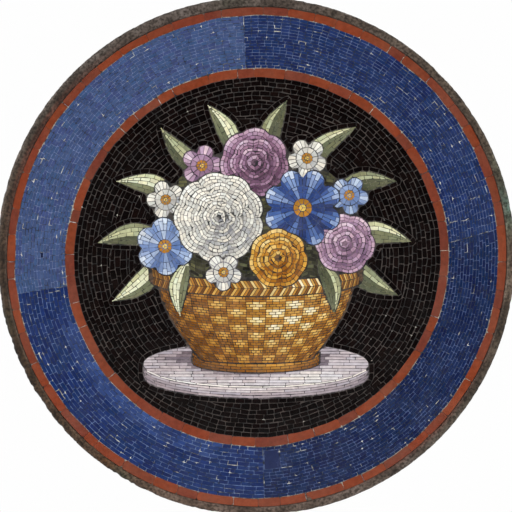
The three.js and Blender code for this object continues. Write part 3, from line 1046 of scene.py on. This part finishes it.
def courses(place, rows, length, shades, share=(0.0, 1.0), jitter=0.12):
    """Tesserae in rows: place(s, t) is the spot at s along and t across the rows, shades(s, t) its colour."""
    start, end = share
    tiles = []
    for row in range(rows):
        low, high = row / rows, (row + 1) / rows
        middle = (low + high) / 2
        track = [place(start + (end - start) * i / 24, middle) for i in range(25)]
        run = sum(math.dist(a, b) for a, b in zip(track, track[1:]))
        count = max(1, round(run / length))
        shift = 0.5 if row % 2 else 0
        cuts = [i + shift + rng.uniform(-jitter, jitter) for i in range(count)]
        cuts = [0] + [c for c in cuts if SHORTEST < c < count - SHORTEST] + [count]
        cuts = [start + (end - start) * c / count for c in cuts]
        for a, b in zip(cuts, cuts[1:]):
            outline = [settle(*place(s, t)) for s, t in ((a, low), (b, low), (b, high), (a, high))]
            tiles.append((outline, shades((a + b) / 2, middle)))
    return tiles


def nipped(tiles, loops, side, overlap=0.0):
    """The tesserae cut to what lies inside these loops, with side at 1, or outside them, with side at -1."""
    dense = [with_midpoints(counter_clockwise(outline), 0.5) for outline, _ in tiles]
    depths = side * depth_inside(np.array([p for outline in dense for p in outline]), loops) + overlap
    result, first = [], 0
    for outline, (_, colour) in zip(dense, tiles):
        values = depths[first:first + len(outline)]
        first += len(outline)
        kept = outline if values.min() > 0 else clipped(outline, list(values))
        if len(kept) > 2:
            result.append((kept, colour))
    return result


def lay_area(piece_name, tiles, slot, nodes, joint_tint):
    """Sets one area of the picture, its tesserae nipped to the outlines of these nodes."""
    setting = Setting(PICTURE_JOINT, joint_tint)
    for outline, colour in nipped(tiles, [loop for name in nodes for loop in areas[name]], 1, OVERLAP):
        setting.add(outline, colour)
    setting.lay(piece_name, PICTURE_SMALTO, slot, *nodes)


PICTURE_SMALTO = smalto("drawn_smalto_ground_flat", "#a59d90", 0.1)


def marble(share, x):
    """A veined marble tone."""
    vein = 0.16 * noise.noise(Vector((x / 3, share * 9, 2)))
    return varied(tone(MARBLE, share + vein), 0.07)


def plinth_top_tiles():
    """The slab's top, darker under the foot ring and in the shadow, brighter at the right."""
    p, foot = PLINTH, BASKET_FOOT

    def place(s, t):
        return p["x"] + p["half_width"] * (2 * s - 1), p["y"] + p["half_depth"] * (2 * t - 1)

    def shades(s, t):
        x, y = place(s, t)
        bulge = foot["sag"] * math.sqrt(max(0, 1 - (x / foot["half_width"]) ** 2))
        foot_line = foot["y"] - foot["height"] / 2 - bulge
        under = math.exp(-max(0, foot_line - y) / 0.55) * (abs(x) < 9.3)
        cast = bell(x, -9.6, 3.0) * bell(y, -13.9, 0.95)
        glow = bell(x, 6.5, 4.5) * bell(y, -16.2, 0.9)
        return marble(0.72 - 0.24 * t + 0.34 * glow - 0.44 * max(under, cast), x)

    return courses(place, round(2 * p["half_depth"] / ROD), 2.3, shades, jitter=0.3)


def plinth_side_tiles():
    """The slab's edge, with a cream arris along its top."""
    p = PLINTH

    def place(s, t):
        turn = math.pi * (1 + s)
        dip = p["half_depth"] * math.sin(turn)
        return p["x"] + p["half_width"] * math.cos(turn), p["y"] + dip - p["edge"] * (1 - t)

    def shades(s, t):
        bright = 1.0 if t > 0.8 else 0.2 + 0.3 * t + 0.25 * math.sin(math.pi * s) ** 2
        return marble(bright, 15 * s)

    return courses(place, round(p["edge"] / EDGE_ROD), 2.6, shades, jitter=0.25)


lay_area("plinth_top_rods", plinth_top_tiles(), "lilac_grey_smalti", ["plinth_top"], "#7f7479")
lay_area("plinth_side_rods", plinth_side_tiles(), "lilac_grey_smalti", ["plinth_side"], "#6e6469")


# ---- Basket ----
# Wicker in ochre and gold smalto: a bowed body woven over and under its stakes, a braided rim that sags
# towards the eye, and a plain foot ring. Three rows of tesserae make one strand, light where it bulges and
# brown where it dives.

BASKET = {"bottom": -13.9, "top": -3.0, "bottom_half": 7.6, "top_half": 13.2, "foot_sag": 0.55,
          "rim_sag": 2.2}
BASKET_RIM = {"y": -2.2, "half_width": 14.4, "height": 2.1, "sag": 2.2}
WICKER = ["#3a200d", "#5d3715", "#85531f", "#ad752c", "#c8923f", "#e0b563", "#f2d795", "#fdf0cb"]
STAKES = 15
STRANDS = 9
STRAND_ROWS = 3
PLAITS = 34
LANES = 3
# The braid's two rows: lower and upper edge, the strands' lean, how far they are moved on, how much darker.
BRAID_ROWS = [(0.0, 0.5, 0.5, 0, 0.1), (0.5, 1.0, -0.5, 0.5, 0.0)]
LIGHT_FROM = 0.3


def basket_place(s, t):
    """s runs round the front from left to right, t from the bottom to the top."""
    b = BASKET
    turn = math.pi * (s - 0.5)
    half = b["bottom_half"] + (b["top_half"] - b["bottom_half"]) * math.sin(max(0, t) * math.pi / 2)
    sag = b["foot_sag"] + (b["rim_sag"] - b["foot_sag"]) * t
    return half * math.sin(turn), b["bottom"] + (b["top"] - b["bottom"]) * t - sag * math.cos(turn)


def round_light(s, t=0.6):
    """Light on a round body: broad and soft, with one bright place above and right of the middle."""
    facing = max(0, math.cos(math.pi * (s - 0.5) - LIGHT_FROM))
    return 0.14 + 0.56 * facing ** 1.5 + 0.4 * bell(s, 0.62, 0.11) * bell(t, 0.66, 0.26)


def weave_shades(s, t):
    """A strand's colour: pale where it passes over a stake, dark where it goes under."""
    cell, strand = s * STAKES, t * STRANDS
    bulge = math.sin(math.pi * (cell % 1)) ** 0.8
    if (int(cell) + int(strand)) % 2 == 0:
        relief = 0.42 + 0.42 * bulge - 0.3 * max(0, 0.5 - strand % 1)
    else:
        relief = 0.26 + 0.16 * bulge
    under_rim = 1 - 0.35 * max(0, (t - 0.82) / 0.18)
    light = (0.25 + 1.1 * round_light(s, t)) * (0.74 + 0.34 * t)
    return varied(tone(WICKER, relief * light * under_rim + 0.04), 0.09)


def weave_tiles():
    """The woven body, one strand above the other from behind the foot ring up to the rim."""
    tiles = []
    for strand in range(-1, STRANDS):
        for row in range(STRAND_ROWS):
            low = (strand + row / STRAND_ROWS) / STRANDS
            high = (strand + (row + 1) / STRAND_ROWS) / STRANDS
            for cell in range(STAKES):
                width = math.dist(basket_place(cell / STAKES, low), basket_place((cell + 1) / STAKES, low))
                parts = 1 if width < 0.7 else 2 if width < 1.7 else 3
                shift = 0.5 / parts if row == 1 and parts > 1 else 0.0
                edges = [0, 1] + [round((k / parts + shift) % 1, 3) for k in range(parts)]
                edges = sorted(set(edges))
                for a, b in zip(edges, edges[1:]):
                    left, right = (cell + a) / STAKES, (cell + b) / STAKES
                    spots = ((left, low), (right, low), (right, high), (left, high))
                    outline = [settle(*basket_place(s, t), amount=0.06) for s, t in spots]
                    tiles.append((outline, weave_shades((left + right) / 2, (low + high) / 2)))
    return tiles


def band_place(band, s, t):
    """A place on the rim or the foot ring: s runs from left to right and t up."""
    turn = math.pi * (s - 0.5)
    rise = band["height"] * (t - 0.5)
    return band["half_width"] * math.sin(turn), band["y"] + rise - band["sag"] * math.cos(turn)


def braid_tiles():
    """Two rows of slanting strands that meet in a chevron."""
    tiles = []
    for low, high, lean, shift, darker in BRAID_ROWS:
        for plait in range(-1, PLAITS + 1):
            for lane in range(LANES):
                left = plait + lane / LANES
                right = left + 1 / LANES
                corners = ((left, low), (right, low), (right + lean, high), (left + lean, high))
                outline = [settle(*band_place(BASKET_RIM, clamped((c + shift) / PLAITS), t), amount=0.04)
                           for c, t in corners]
                if abs(area_of(outline)) < 0.05:
                    continue
                relief = (0.3, 0.86, 0.55)[lane] - darker
                light = 0.45 + 0.6 * round_light(clamped(left / PLAITS))
                tiles.append((outline, varied(tone(WICKER, relief * light + 0.05), 0.08)))
    return tiles


def foot_tiles():
    """The plain foot ring."""
    def shades(s, t):
        return varied(tone(WICKER, (0.25 + 0.35 * t) * (0.4 + 0.8 * round_light(s))), 0.1)

    return courses(lambda s, t: band_place(BASKET_FOOT, s, t), 4, 0.9, shades)


lay_area("basket_weave", weave_tiles(), "gold_smalti", ["basket_body"], "#5b4430")
rim_nodes = sorted(name for name in areas if name.startswith("basket_rim"))
lay_area("basket_braid", braid_tiles(), "gold_smalti", rim_nodes, "#5b4430")
lay_area("basket_foot_ring", foot_tiles(), "gold_smalti", ["basket_foot"], "#4a3424")


# ---- Leaves and dark foliage ----
# Each leaf is five lanes of tesserae, drawn together at the stalk and the tip, the half towards the light in
# pale sage and the other in olive. Short dark olive and brown pieces fill the spaces between the flowers.

LEAF_BELLY = 0.85
# A leaf's stretches from the stalk to the tip: first and last share of its length, and lanes.
LEAF_STRETCHES = [(0.0, 0.1, 1), (0.1, 0.84, 5), (0.84, 0.93, 3), (0.93, 1.0, 1)]
SAGE = ["#3f4230", "#5f634a", "#878b69", "#aeb18a", "#cfd1a6", "#e8e9c9"]
OLIVE_SHADE = ["#17150f", "#25241a", "#3a3a28", "#525238", "#6b6b4a"]
# Stalk end, heading, length, width, bend, and how pale the leaf is.
LEAVES = [
    (-2.6, 13.0, 118, 8.4, 2.7, -0.7, 0.75), (1.6, 13.0, 72, 8.4, 2.7, 0.8, 0.45),
    (5.4, 10.6, 40, 10.6, 2.8, 0.9, 0.7), (10.2, 8.2, 12, 9.0, 2.8, 0.9, 0.4),
    (11.6, 2.6, -4, 9.4, 2.9, 0.9, 0.8), (11.6, 0.6, -38, 9.6, 2.9, -0.9, 0.45),
    (-5.4, 10.6, 138, 10.0, 2.8, 0.8, 0.42), (-10.2, 7.6, 164, 9.0, 2.8, -0.9, 0.8),
    (-12.0, 2.4, 184, 9.4, 2.9, -0.9, 0.45), (-12.4, 0.2, 222, 9.4, 2.9, 0.9, 0.75),
]
HANGING_LEAVES = [(-9.2, -0.6, 262, 7.6, 2.5, -0.8, 0.85), (8.4, -0.4, 286, 7.8, 2.5, 0.8, 0.55)]
FOLIAGE = {"x": 0.2, "y": 3.2, "half_width": 13.6, "half_height": 11.4, "row": 0.48}


def leaf_tiles(x, y, heading, length, width, bend, pale):
    """One leaf: s runs from the stalk to the tip, t across it."""
    along = math.radians(heading)

    def place(s, t):
        half = width / 2 * math.sin(math.pi * clamped(s) ** LEAF_BELLY)
        across = bend * math.sin(math.pi * s) + (2 * t - 1) * half
        forward = length * s
        return (x + forward * math.cos(along) - across * math.sin(along),
                y + forward * math.sin(along) + across * math.cos(along))

    def shades(s, t):
        rib = 0.22 if 0.25 < t < 0.75 else 0
        sunny = (t > 0.5) == (math.cos(along) > 0)
        share = (pale + rib if sunny else pale * 0.5 - 0.1) + 0.2 * (s - 0.5)
        return varied(tone(SAGE, share), 0.09)

    tiles = []
    for start, end, lanes in LEAF_STRETCHES:
        tiles += courses(place, lanes, 1.25, shades, share=(start, end), jitter=0.2)
    return tiles


for prefix, leaves in (("leaf", LEAVES), ("hanging_leaf", HANGING_LEAVES)):
    for number, leaf in enumerate(leaves, 1):
        leaf_node = f"{prefix}_{number}"
        lay_area(leaf_node + "_tesserae", leaf_tiles(*leaf), "sage_smalti", [leaf_node], "#6b6a50")


def foliage_tiles():
    """Rows of dark pieces that rise and fall a little."""
    f = FOLIAGE

    def place(s, t):
        x = f["half_width"] * (2 * s - 1)
        return f["x"] + x, f["y"] + f["half_height"] * (2 * t - 1) + 0.48 * math.sin(1.1 * x)

    def shades(s, t):
        return varied(tone(OLIVE_SHADE, rng.uniform(0.1, 0.9)), 0.1)

    return courses(place, round(2 * f["half_height"] / f["row"]), 0.95, shades, jitter=0.3)


foliage_nodes = sorted(name for name in areas if name.startswith("foliage"))
lay_area("foliage_tesserae", foliage_tiles(), "dark_olive_smalti", foliage_nodes, "#3d3a2e")


# ---- Flowers ----
# Roses and a peony of petals in rings, a blue anemone and smaller open flowers. Rings of tesserae follow the
# petals' scalloped edge, palest at the lip of each petal and deep where the next one covers it.

PETAL_ROUNDNESS = 0.6
PEONY_WHITES = ["#74757d", "#adadaf", "#d6d3ca", "#ebe7db", "#f8f4e9", "#fffdf5"]
MAUVES = ["#3b2438", "#5d3c55", "#85607b", "#ab86a0", "#cfafc4", "#ead6e2"]
LILACS = ["#59405a", "#7d5f7b", "#a17f9b", "#c4a3ba", "#e0c6d5", "#f3e4ea"]
GOLDS = ["#6a3c12", "#94591b", "#bd7f29", "#dba544", "#efcb7c", "#fae9b8"]
BLUES = ["#1a2444", "#26386c", "#35508f", "#5f7cb4", "#9db1d6", "#dfe7f1"]
PALE_BLUES = ["#3f5486", "#5c75a8", "#8198c4", "#a8bad9", "#ccd8e9", "#e9eef4"]
YELLOW_EYE = ["#7a4a16", "#c58a2a", "#edc862"]

# Roses: place, radius, petals, notch, turn, colours, and each ring of petals from the outside in: its share
# of the radius and its turn.
ROSES = {
    "mauve_rose": (-0.2, 12.6, 4.7, 7, 0.1, 10, MAUVES, [(1.0, 0), (0.72, 24), (0.46, 5), (0.24, 30)]),
    "lilac_rose": (12.0, 1.7, 4.1, 6, 0.1, 20, LILACS, [(1.0, 0), (0.7, 30), (0.42, 0), (0.2, 25)]),
    "white_peony": (-5.0, 5.2, 6.1, 9, 0.09, 0, PEONY_WHITES,
                    [(1.0, 0), (0.78, 20), (0.57, 2), (0.37, 22), (0.19, 5)]),
    "gold_ranunculus": (3.0, -0.3, 4.0, 7, 0.1, 15, GOLDS, [(1.0, 0), (0.74, 26), (0.5, 0), (0.27, 24)]),
}
# Open flowers: place, radius, petals, notch, turn, colours, lanes to a petal, and the eye's share of it all.
OPEN_FLOWERS = {
    "blue_anemone": (6.3, 6.5, 5.3, 8, 0.26, 0, BLUES, 6, 0.24),
    "pale_blue_flower": (-12.3, 1.3, 3.9, 6, 0.24, 5, PALE_BLUES, 6, 0.24),
    "top_right_blossom": (6.9, 13.2, 2.7, 5, 0.34, 12, PEONY_WHITES, 5, 0.28),
    "top_left_blossom": (-7.3, 12.2, 2.8, 5, 0.34, 40, LILACS, 5, 0.28),
    "left_blossom": (-12.2, 7.6, 2.6, 5, 0.34, 0, PEONY_WHITES, 5, 0.28),
    "right_blossom": (12.6, 8.2, 2.6, 5, 0.34, 25, PALE_BLUES, 5, 0.28),
    "rim_blossom": (-4.4, -2.2, 2.5, 5, 0.34, 18, PEONY_WHITES, 5, 0.28),
}
FLOWER_ROW = 0.46
FLOWER_LENGTH = 0.72
PETAL_LENGTH = 0.95
# Where an open flower's inner tesserae end, as a share of its radius.
PETAL_JOINT = 0.56
# The light falls on the flowers from this angle.
FLOWER_LIGHT = math.radians(125)
EYE_PIECES = 9
FLOWER_SLOTS = {
    "mauve_rose": "mauve_smalti", "lilac_rose": "mauve_smalti", "top_left_blossom": "mauve_smalti",
    "gold_ranunculus": "gold_smalti", "blue_anemone": "flower_blue_smalti",
    "pale_blue_flower": "flower_blue_smalti", "right_blossom": "flower_blue_smalti",
}


def scallop(angle, petals, notch):
    """The share of the radius that the petals' edge reaches at this angle."""
    return 1 - notch + notch * abs(math.sin(petals * angle / 2)) ** PETAL_ROUNDNESS


def petal_ring_tiles(x, y, bloom, count, dip, start, palette, lowest):
    """One ring of petals in rows, from this lowest share of its radius out to its scalloped edge."""
    def place(s, t):
        angle = 2 * math.pi * s
        reach = bloom * (lowest + (1 - lowest) * t) * scallop(angle, count, dip)
        return polar(reach, angle + start, x, y)

    def shades(s, t):
        petal = abs(math.sin(math.pi * count * s)) ** 0.7
        facing = math.cos(2 * math.pi * s + start - FLOWER_LIGHT)
        share = 0.12 + 0.62 * t ** 1.4 * (0.45 + 0.55 * petal) + 0.16 * facing + 0.12 * petal
        return varied(tone(palette, share), 0.06)

    return courses(place, max(1, round(bloom * (1 - lowest) / FLOWER_ROW)), FLOWER_LENGTH, shades)


def rose_tiles(x, y, radius, petals, notch, turn, palette, rings):
    """A rose's rings of petals, each covered by the next one in."""
    blooms = [(radius * share, max(4, petals - level), notch * (1 + 0.5 * level), math.radians(turn + twist))
              for level, (share, twist) in enumerate(rings)]
    tiles = []
    for (bloom, count, dip, start), nearer in zip(blooms, blooms[1:] + [None]):
        lowest = nearer[0] * 0.82 / bloom if nearer else 0.0
        layer = petal_ring_tiles(x, y, bloom, count, dip, start, palette, lowest)
        if nearer:
            reach, cover_count, cover_dip, cover_start = nearer
            steps = cover_count * 12
            angles = [2 * math.pi * i / steps for i in range(steps)]
            cover = [polar(reach * scallop(angle, cover_count, cover_dip), angle + cover_start, x, y)
                     for angle in angles]
            layer = nipped(layer, [np.array(cover)], -1)
        tiles += layer
    return tiles


def open_flower_tiles(x, y, radius, petals, notch, turn, palette, lanes, eye):
    """An open flower: petals in lanes that widen outwards, round a yellow eye."""
    start = math.radians(turn)
    tiles = []
    for inner, outer, per_petal in ((eye, PETAL_JOINT, max(2, lanes // 2)), (PETAL_JOINT, 1.0, lanes)):
        pieces = max(1, round(radius * (outer - inner) / PETAL_LENGTH))
        for lane in range(petals * per_petal):
            a, b = (2 * math.pi * k / (petals * per_petal) for k in (lane, lane + 1))
            centre = 1 - abs(2 * (lane % per_petal + 0.5) / per_petal - 1)
            shift = 0.5 / pieces if lane % 2 else 0
            cuts = [0] + [k / pieces + shift for k in range(1, pieces)] + [1]
            for low, high in zip(cuts, cuts[1:]):
                near = inner + (outer - inner) * low
                far = inner + (outer - inner) * high
                outline = []
                for share, angle in ((near, a), (far, a), (far, b), (near, b)):
                    reach = radius * share * (scallop(angle, petals, notch) if share > 0.9 else 1)
                    outline.append(settle(*polar(reach, angle + start, x, y), amount=0.03))
                facing = math.cos((a + b) / 2 + start - FLOWER_LIGHT)
                depth = (near + far) / 2
                pale = 0.1 + 0.75 * centre ** 0.8 * (0.35 + 0.65 * depth) + 0.1 * facing
                pale += 0.12 * (depth > 0.8)
                tiles.append((outline, varied(tone(palette, pale), 0.07)))
    return tiles + eye_tiles(x, y, radius, eye)


def eye_tiles(x, y, radius, eye):
    """A ring of small pieces round three brighter wedges."""
    tiles = []
    piece = 2 * math.pi / EYE_PIECES
    pupil = eye * 0.42
    for k in range(EYE_PIECES):
        a = k * piece
        corners = [(pupil, a), (eye, a), (eye, a + piece / 2), (eye, a + piece), (pupil, a + piece)]
        outline = [polar(radius * share, turn, x, y) for share, turn in corners]
        tiles.append((outline, varied(tone(YELLOW_EYE, 0.35), 0.12)))
        if k % 3 == 0:
            wedge = [(0.0, a), (pupil, a), (pupil, a + 3 * piece / 2), (pupil, a + 3 * piece)]
            outline = [polar(radius * share, turn, x, y) for share, turn in wedge]
            tiles.append((outline, varied(tone(YELLOW_EYE, 0.95), 0.12)))
    return tiles


flowers = {name: rose_tiles(*rose) for name, rose in ROSES.items()}
flowers |= {name: open_flower_tiles(*flower) for name, flower in OPEN_FLOWERS.items()}
for name, tiles in flowers.items():
    lay_area(name + "_tesserae", tiles, FLOWER_SLOTS.get(name, "white_smalti"), [name], wax_tint(name))


# ---- Bared mastic ----
# Where the tinted wax has fallen out of the band's joints the pale mastic shows as hairlines, most of them
# beside the red borders. Each is a low ridge that follows the joints for a few tesserae.

RUNS = 230
RUN_COLOURS = ["#cfcabb", "#bdb8aa", "#a9a79f", "#c9c9c4", "#9aa2ad"]
RUN_HEIGHT = 0.03
RUN_EDGE = 0.02
RUN_FOOT = 0.06
RUN_WIDTHS = (0.03, 0.075)
ACROSS_WIDTHS = (0.03, 0.055)
STARS = 230
GROUND_STARS = 26
# A crumb's longest arm and half its width, in the band and in the black ground.
BAND_STAR = (0.38, 0.055)
GROUND_STAR = (0.22, 0.04)
STAR_COLOURS = ["#ece8dc", "#dedbd0", "#f2f0e8"]
# How many steps a hairline takes from joint to joint, drawn from these, in the first lot and in the others.
FIRST_LOT_STEPS = [1, 1, 2, 2, 3, 5]
OTHER_STEPS = [1, 1, 1, 1, 1, 2, 3]
# Joints bared straight across the rings: lot, angle, first and last ring.
BARED_ACROSS = [
    (0, 4, 0.4, 4), (0, 4, 5, 9), (0, 4, 11, 14), (0, 9.5, 1, 4), (0, 9, 5, 8), (0, 14, 9, 12),
    (1, 93, 12, 16), (1, 93, 0.3, 2), (2, 189, 1, 3), (2, 190, 2, 5), (3, 272, 0.3, 3), (3, 272, 9, 12),
]


def any_crossing(rings):
    """A ring's line and the angle of one of the joints that meet it."""
    line = rng.randrange(1, len(rings))
    return line, rng.choice(rings[line][1:-1])


def joint_run(spot, rings, steps):
    """A path along the joints from one crossing to the next."""
    line, angle = any_crossing(rings)
    path = [spot(line, angle)]
    way = rng.choice([-1, 1])
    for _ in range(steps):
        beside = (ring for ring in (line, line - 1) if 0 <= ring < len(rings) and angle in rings[ring])
        crossing = next(beside, None)
        if crossing is not None and rng.random() < 0.6:
            line = line + 1 if crossing == line else line - 1
            path.append(spot(line, angle))
            if not 0 < line < len(rings):
                break
            continue
        around = sorted(set(rings[line]) | set(rings[line - 1]))
        ahead = [a for a in around if (a - angle) * way > 1e-6]
        if not ahead:
            break
        target = ahead[0] if way > 0 else ahead[-1]
        path += [spot(line, angle + (target - angle) * share) for share in (0.25, 0.5, 0.75, 1.0)]
        angle = target
    return path


def ridge(path, half_width):
    """A low closed ridge along a path, uneven in width and narrow at both ends."""
    points, faces = [], []
    for k, (x, y) in enumerate(path):
        ax, ay = path[max(0, k - 1)]
        bx, by = path[min(len(path) - 1, k + 1)]
        size = math.hypot(bx - ax, by - ay) or 1
        nx, ny = (ay - by) / size, (bx - ax) / size
        w = half_width * (0.35 if k in (0, len(path) - 1) else rng.uniform(0.6, 1.5))
        points += [(x + nx * w, y + ny * w, FACE - RUN_EDGE), (x, y, FACE + RUN_HEIGHT),
                   (x - nx * w, y - ny * w, FACE - RUN_EDGE), (x, y, FACE - RUN_FOOT)]
    for k in range(len(path) - 1):
        for side in range(4):
            a, b = 4 * k + side, 4 * k + (side + 1) % 4
            faces.append((a, b, b + 4, a + 4))
    last = 4 * (len(path) - 1)
    return points, faces + [(3, 2, 1, 0), (last, last + 1, last + 2, last + 3)]


run_points, run_faces, run_colours = [], [], []


def bare(path, half_width, colours):
    """Adds one ridge of pale mastic."""
    points, faces = ridge(path, half_width)
    run_faces.extend(tuple(len(run_points) + i for i in face) for face in faces)
    run_points.extend(points)
    run_colours.extend([linear(rng.choice(colours))] * len(points))


def star(x, y, angle, longest, half_width):
    """A crumb of mastic with arms along three joints."""
    for turn in (math.pi / 2, -math.pi / 2, rng.choice([0, math.pi])):
        reach, way = longest * rng.uniform(0.2, 1), angle + turn + rng.uniform(-0.3, 0.3)
        bare([polar(-0.04, way, x, y), (x, y), polar(reach, way, x, y)], half_width, STAR_COLOURS)


def from_borders(x, y):
    """How far a place in the band lies from the nearer border."""
    return min(math.hypot(x, y) - BLUE_INNER, BLUE_OUTER - math.hypot(x, y))


laid = 0
while laid < RUNS:
    lot = rng.randrange(len(lots_laid))
    spot, rings = lots_laid[lot]
    path = joint_run(spot, rings, rng.choice(OTHER_STEPS if lot else FIRST_LOT_STEPS))
    x, y = path[0]
    crowd = 1.1 * max(0, patchy(x, y, 4.5, 15) - 0.1)
    if len(path) > 1 and rng.random() < 0.1 + 0.7 * math.exp(-from_borders(x, y) / 0.6) + crowd:
        bare(path, rng.uniform(*RUN_WIDTHS), RUN_COLOURS)
        laid += 1
for _ in range(STARS):
    spot, rings = rng.choice(lots_laid)
    line, angle = any_crossing(rings)
    x, y = spot(line, angle)
    if rng.random() < 0.25 + math.exp(-from_borders(x, y) / 0.8):
        star(x, y, angle, *BAND_STAR)
for lot, angle, low, high in BARED_ACROSS:
    spot, _ = lots_laid[lot]
    steps = round((high - low) * 2)
    across = [spot(low + (high - low) * i / steps, math.radians(angle + rng.uniform(-0.12, 0.12)))
              for i in range(steps + 1)]
    bare(across, rng.uniform(*ACROSS_WIDTHS), RUN_COLOURS)
for x, y in rng.sample(ground_corners, GROUND_STARS):
    star(x, y, math.atan2(y, x), *GROUND_STAR)
for inner, outer, cut in block_ends:
    if rng.random() < 0.2:
        low, high = inner(cut) - 0.05, outer(cut)
        reach = [low + (high - low) * share for share in (0, 0.3, 0.6, rng.uniform(0.7, 1.0))]
        bare([polar(r, cut) for r in reach], rng.uniform(*ACROSS_WIDTHS), RUN_COLOURS)
runs = make_piece("bared_mastic_hairlines", run_points, run_faces, LIME_MASTIC)
colour_points(runs, "tint", run_colours)
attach(runs, "root")


# ---- Floor, lights and camera ----
# The panel hangs a little above a plain pale floor, in soft even light from large lamps round it, seen square
# on through a long lens from far off.

FLOOR_GAP = 0.012
CAMERA_DISTANCE = 1.2
# Share of the panel's width that the square view takes in: its edge is just cut at the top, foot and sides.
SHARE_SEEN = 0.9884
SENSOR = 36.0
# The lamps: place and size in metres, and power in watts.
SOFTBOXES = {
    "left_softbox": ((-0.75, -0.42, 0.25), 0.5, 6.4),
    "right_softbox": ((0.78, -0.4, 0.2), 0.5, 5.6),
    "top_softbox": ((0.0, -0.42, 0.8), 0.5, 3.2),
    "back_softbox": ((0.3, 0.8, 0.5), 0.6, 6.0),
    "back_left_softbox": ((-0.7, 0.5, 0.3), 0.5, 4.0),
}

floor_level = -PANEL_RADIUS * MM - FLOOR_GAP
bpy.ops.mesh.primitive_circle_add(vertices=96, radius=0.35, fill_type="NGON", location=(0, 0, floor_level))
floor = bpy.context.object
floor.name = "floor"
# Pale matt paper, with just enough tooth to catch the light.
paper, paper_tree, paper_shader, paper_place = new_material("pale_floor_paper")
tooth = node(paper_tree, "ShaderNodeTexNoise", {"Vector": (paper_place, "Object"), "Scale": per_metre(1.5)})
grain = node(paper_tree, "ShaderNodeBump", {"Height": tooth, "Strength": 0.1, "Distance": 0.05 * MM})
join(paper_tree, paper_shader, {"Base Color": "#f1f0ee", "Roughness": 0.9, "Normal": grain})
floor.data.materials.append(paper)
floor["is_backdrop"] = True

for name, (place, size, power) in SOFTBOXES.items():
    light = bpy.data.lights.new(name, "AREA")
    light.size = size
    light.energy = power
    lamp = bpy.data.objects.new(name, light)
    lamp.location = place
    lamp.rotation_euler = (-Vector(place)).to_track_quat("-Z", "Y").to_euler()
    bpy.context.scene.collection.objects.link(lamp)

world = bpy.data.worlds.new("studio")
bpy.context.scene.world = world
world.use_nodes = True
sky = world.node_tree
sky.nodes.clear()
seen = node(sky, "ShaderNodeLightPath")
backdrop = node(sky, "ShaderNodeBackground", {"Color": "#fefefe", "Strength": 1.0})
fill = node(sky, "ShaderNodeBackground", {"Color": "#ffffff", "Strength": 0.05})
both = node(sky, "ShaderNodeMixShader", {0: (seen, "Is Camera Ray"), 1: fill, 2: backdrop})
node(sky, "ShaderNodeOutputWorld", {"Surface": both})

camera_data = bpy.data.cameras.new("camera")
camera_data.sensor_width = SENSOR
camera_data.lens = SENSOR * CAMERA_DISTANCE / (2 * PANEL_RADIUS * MM * SHARE_SEEN)
camera_data.clip_start = 0.05
camera = bpy.data.objects.new("camera", camera_data)
camera.location = (0, -PANEL_DEPTH * MM - CAMERA_DISTANCE, 0)
camera.rotation_euler = (math.pi / 2, 0, 0)
bpy.context.scene.collection.objects.link(camera)
bpy.context.scene.camera = camera
bpy.context.scene.view_settings.view_transform = "Standard"

low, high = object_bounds()
{"cad": [list(cad_low), list(cad_high)], "visual": [list(low), list(high)]}
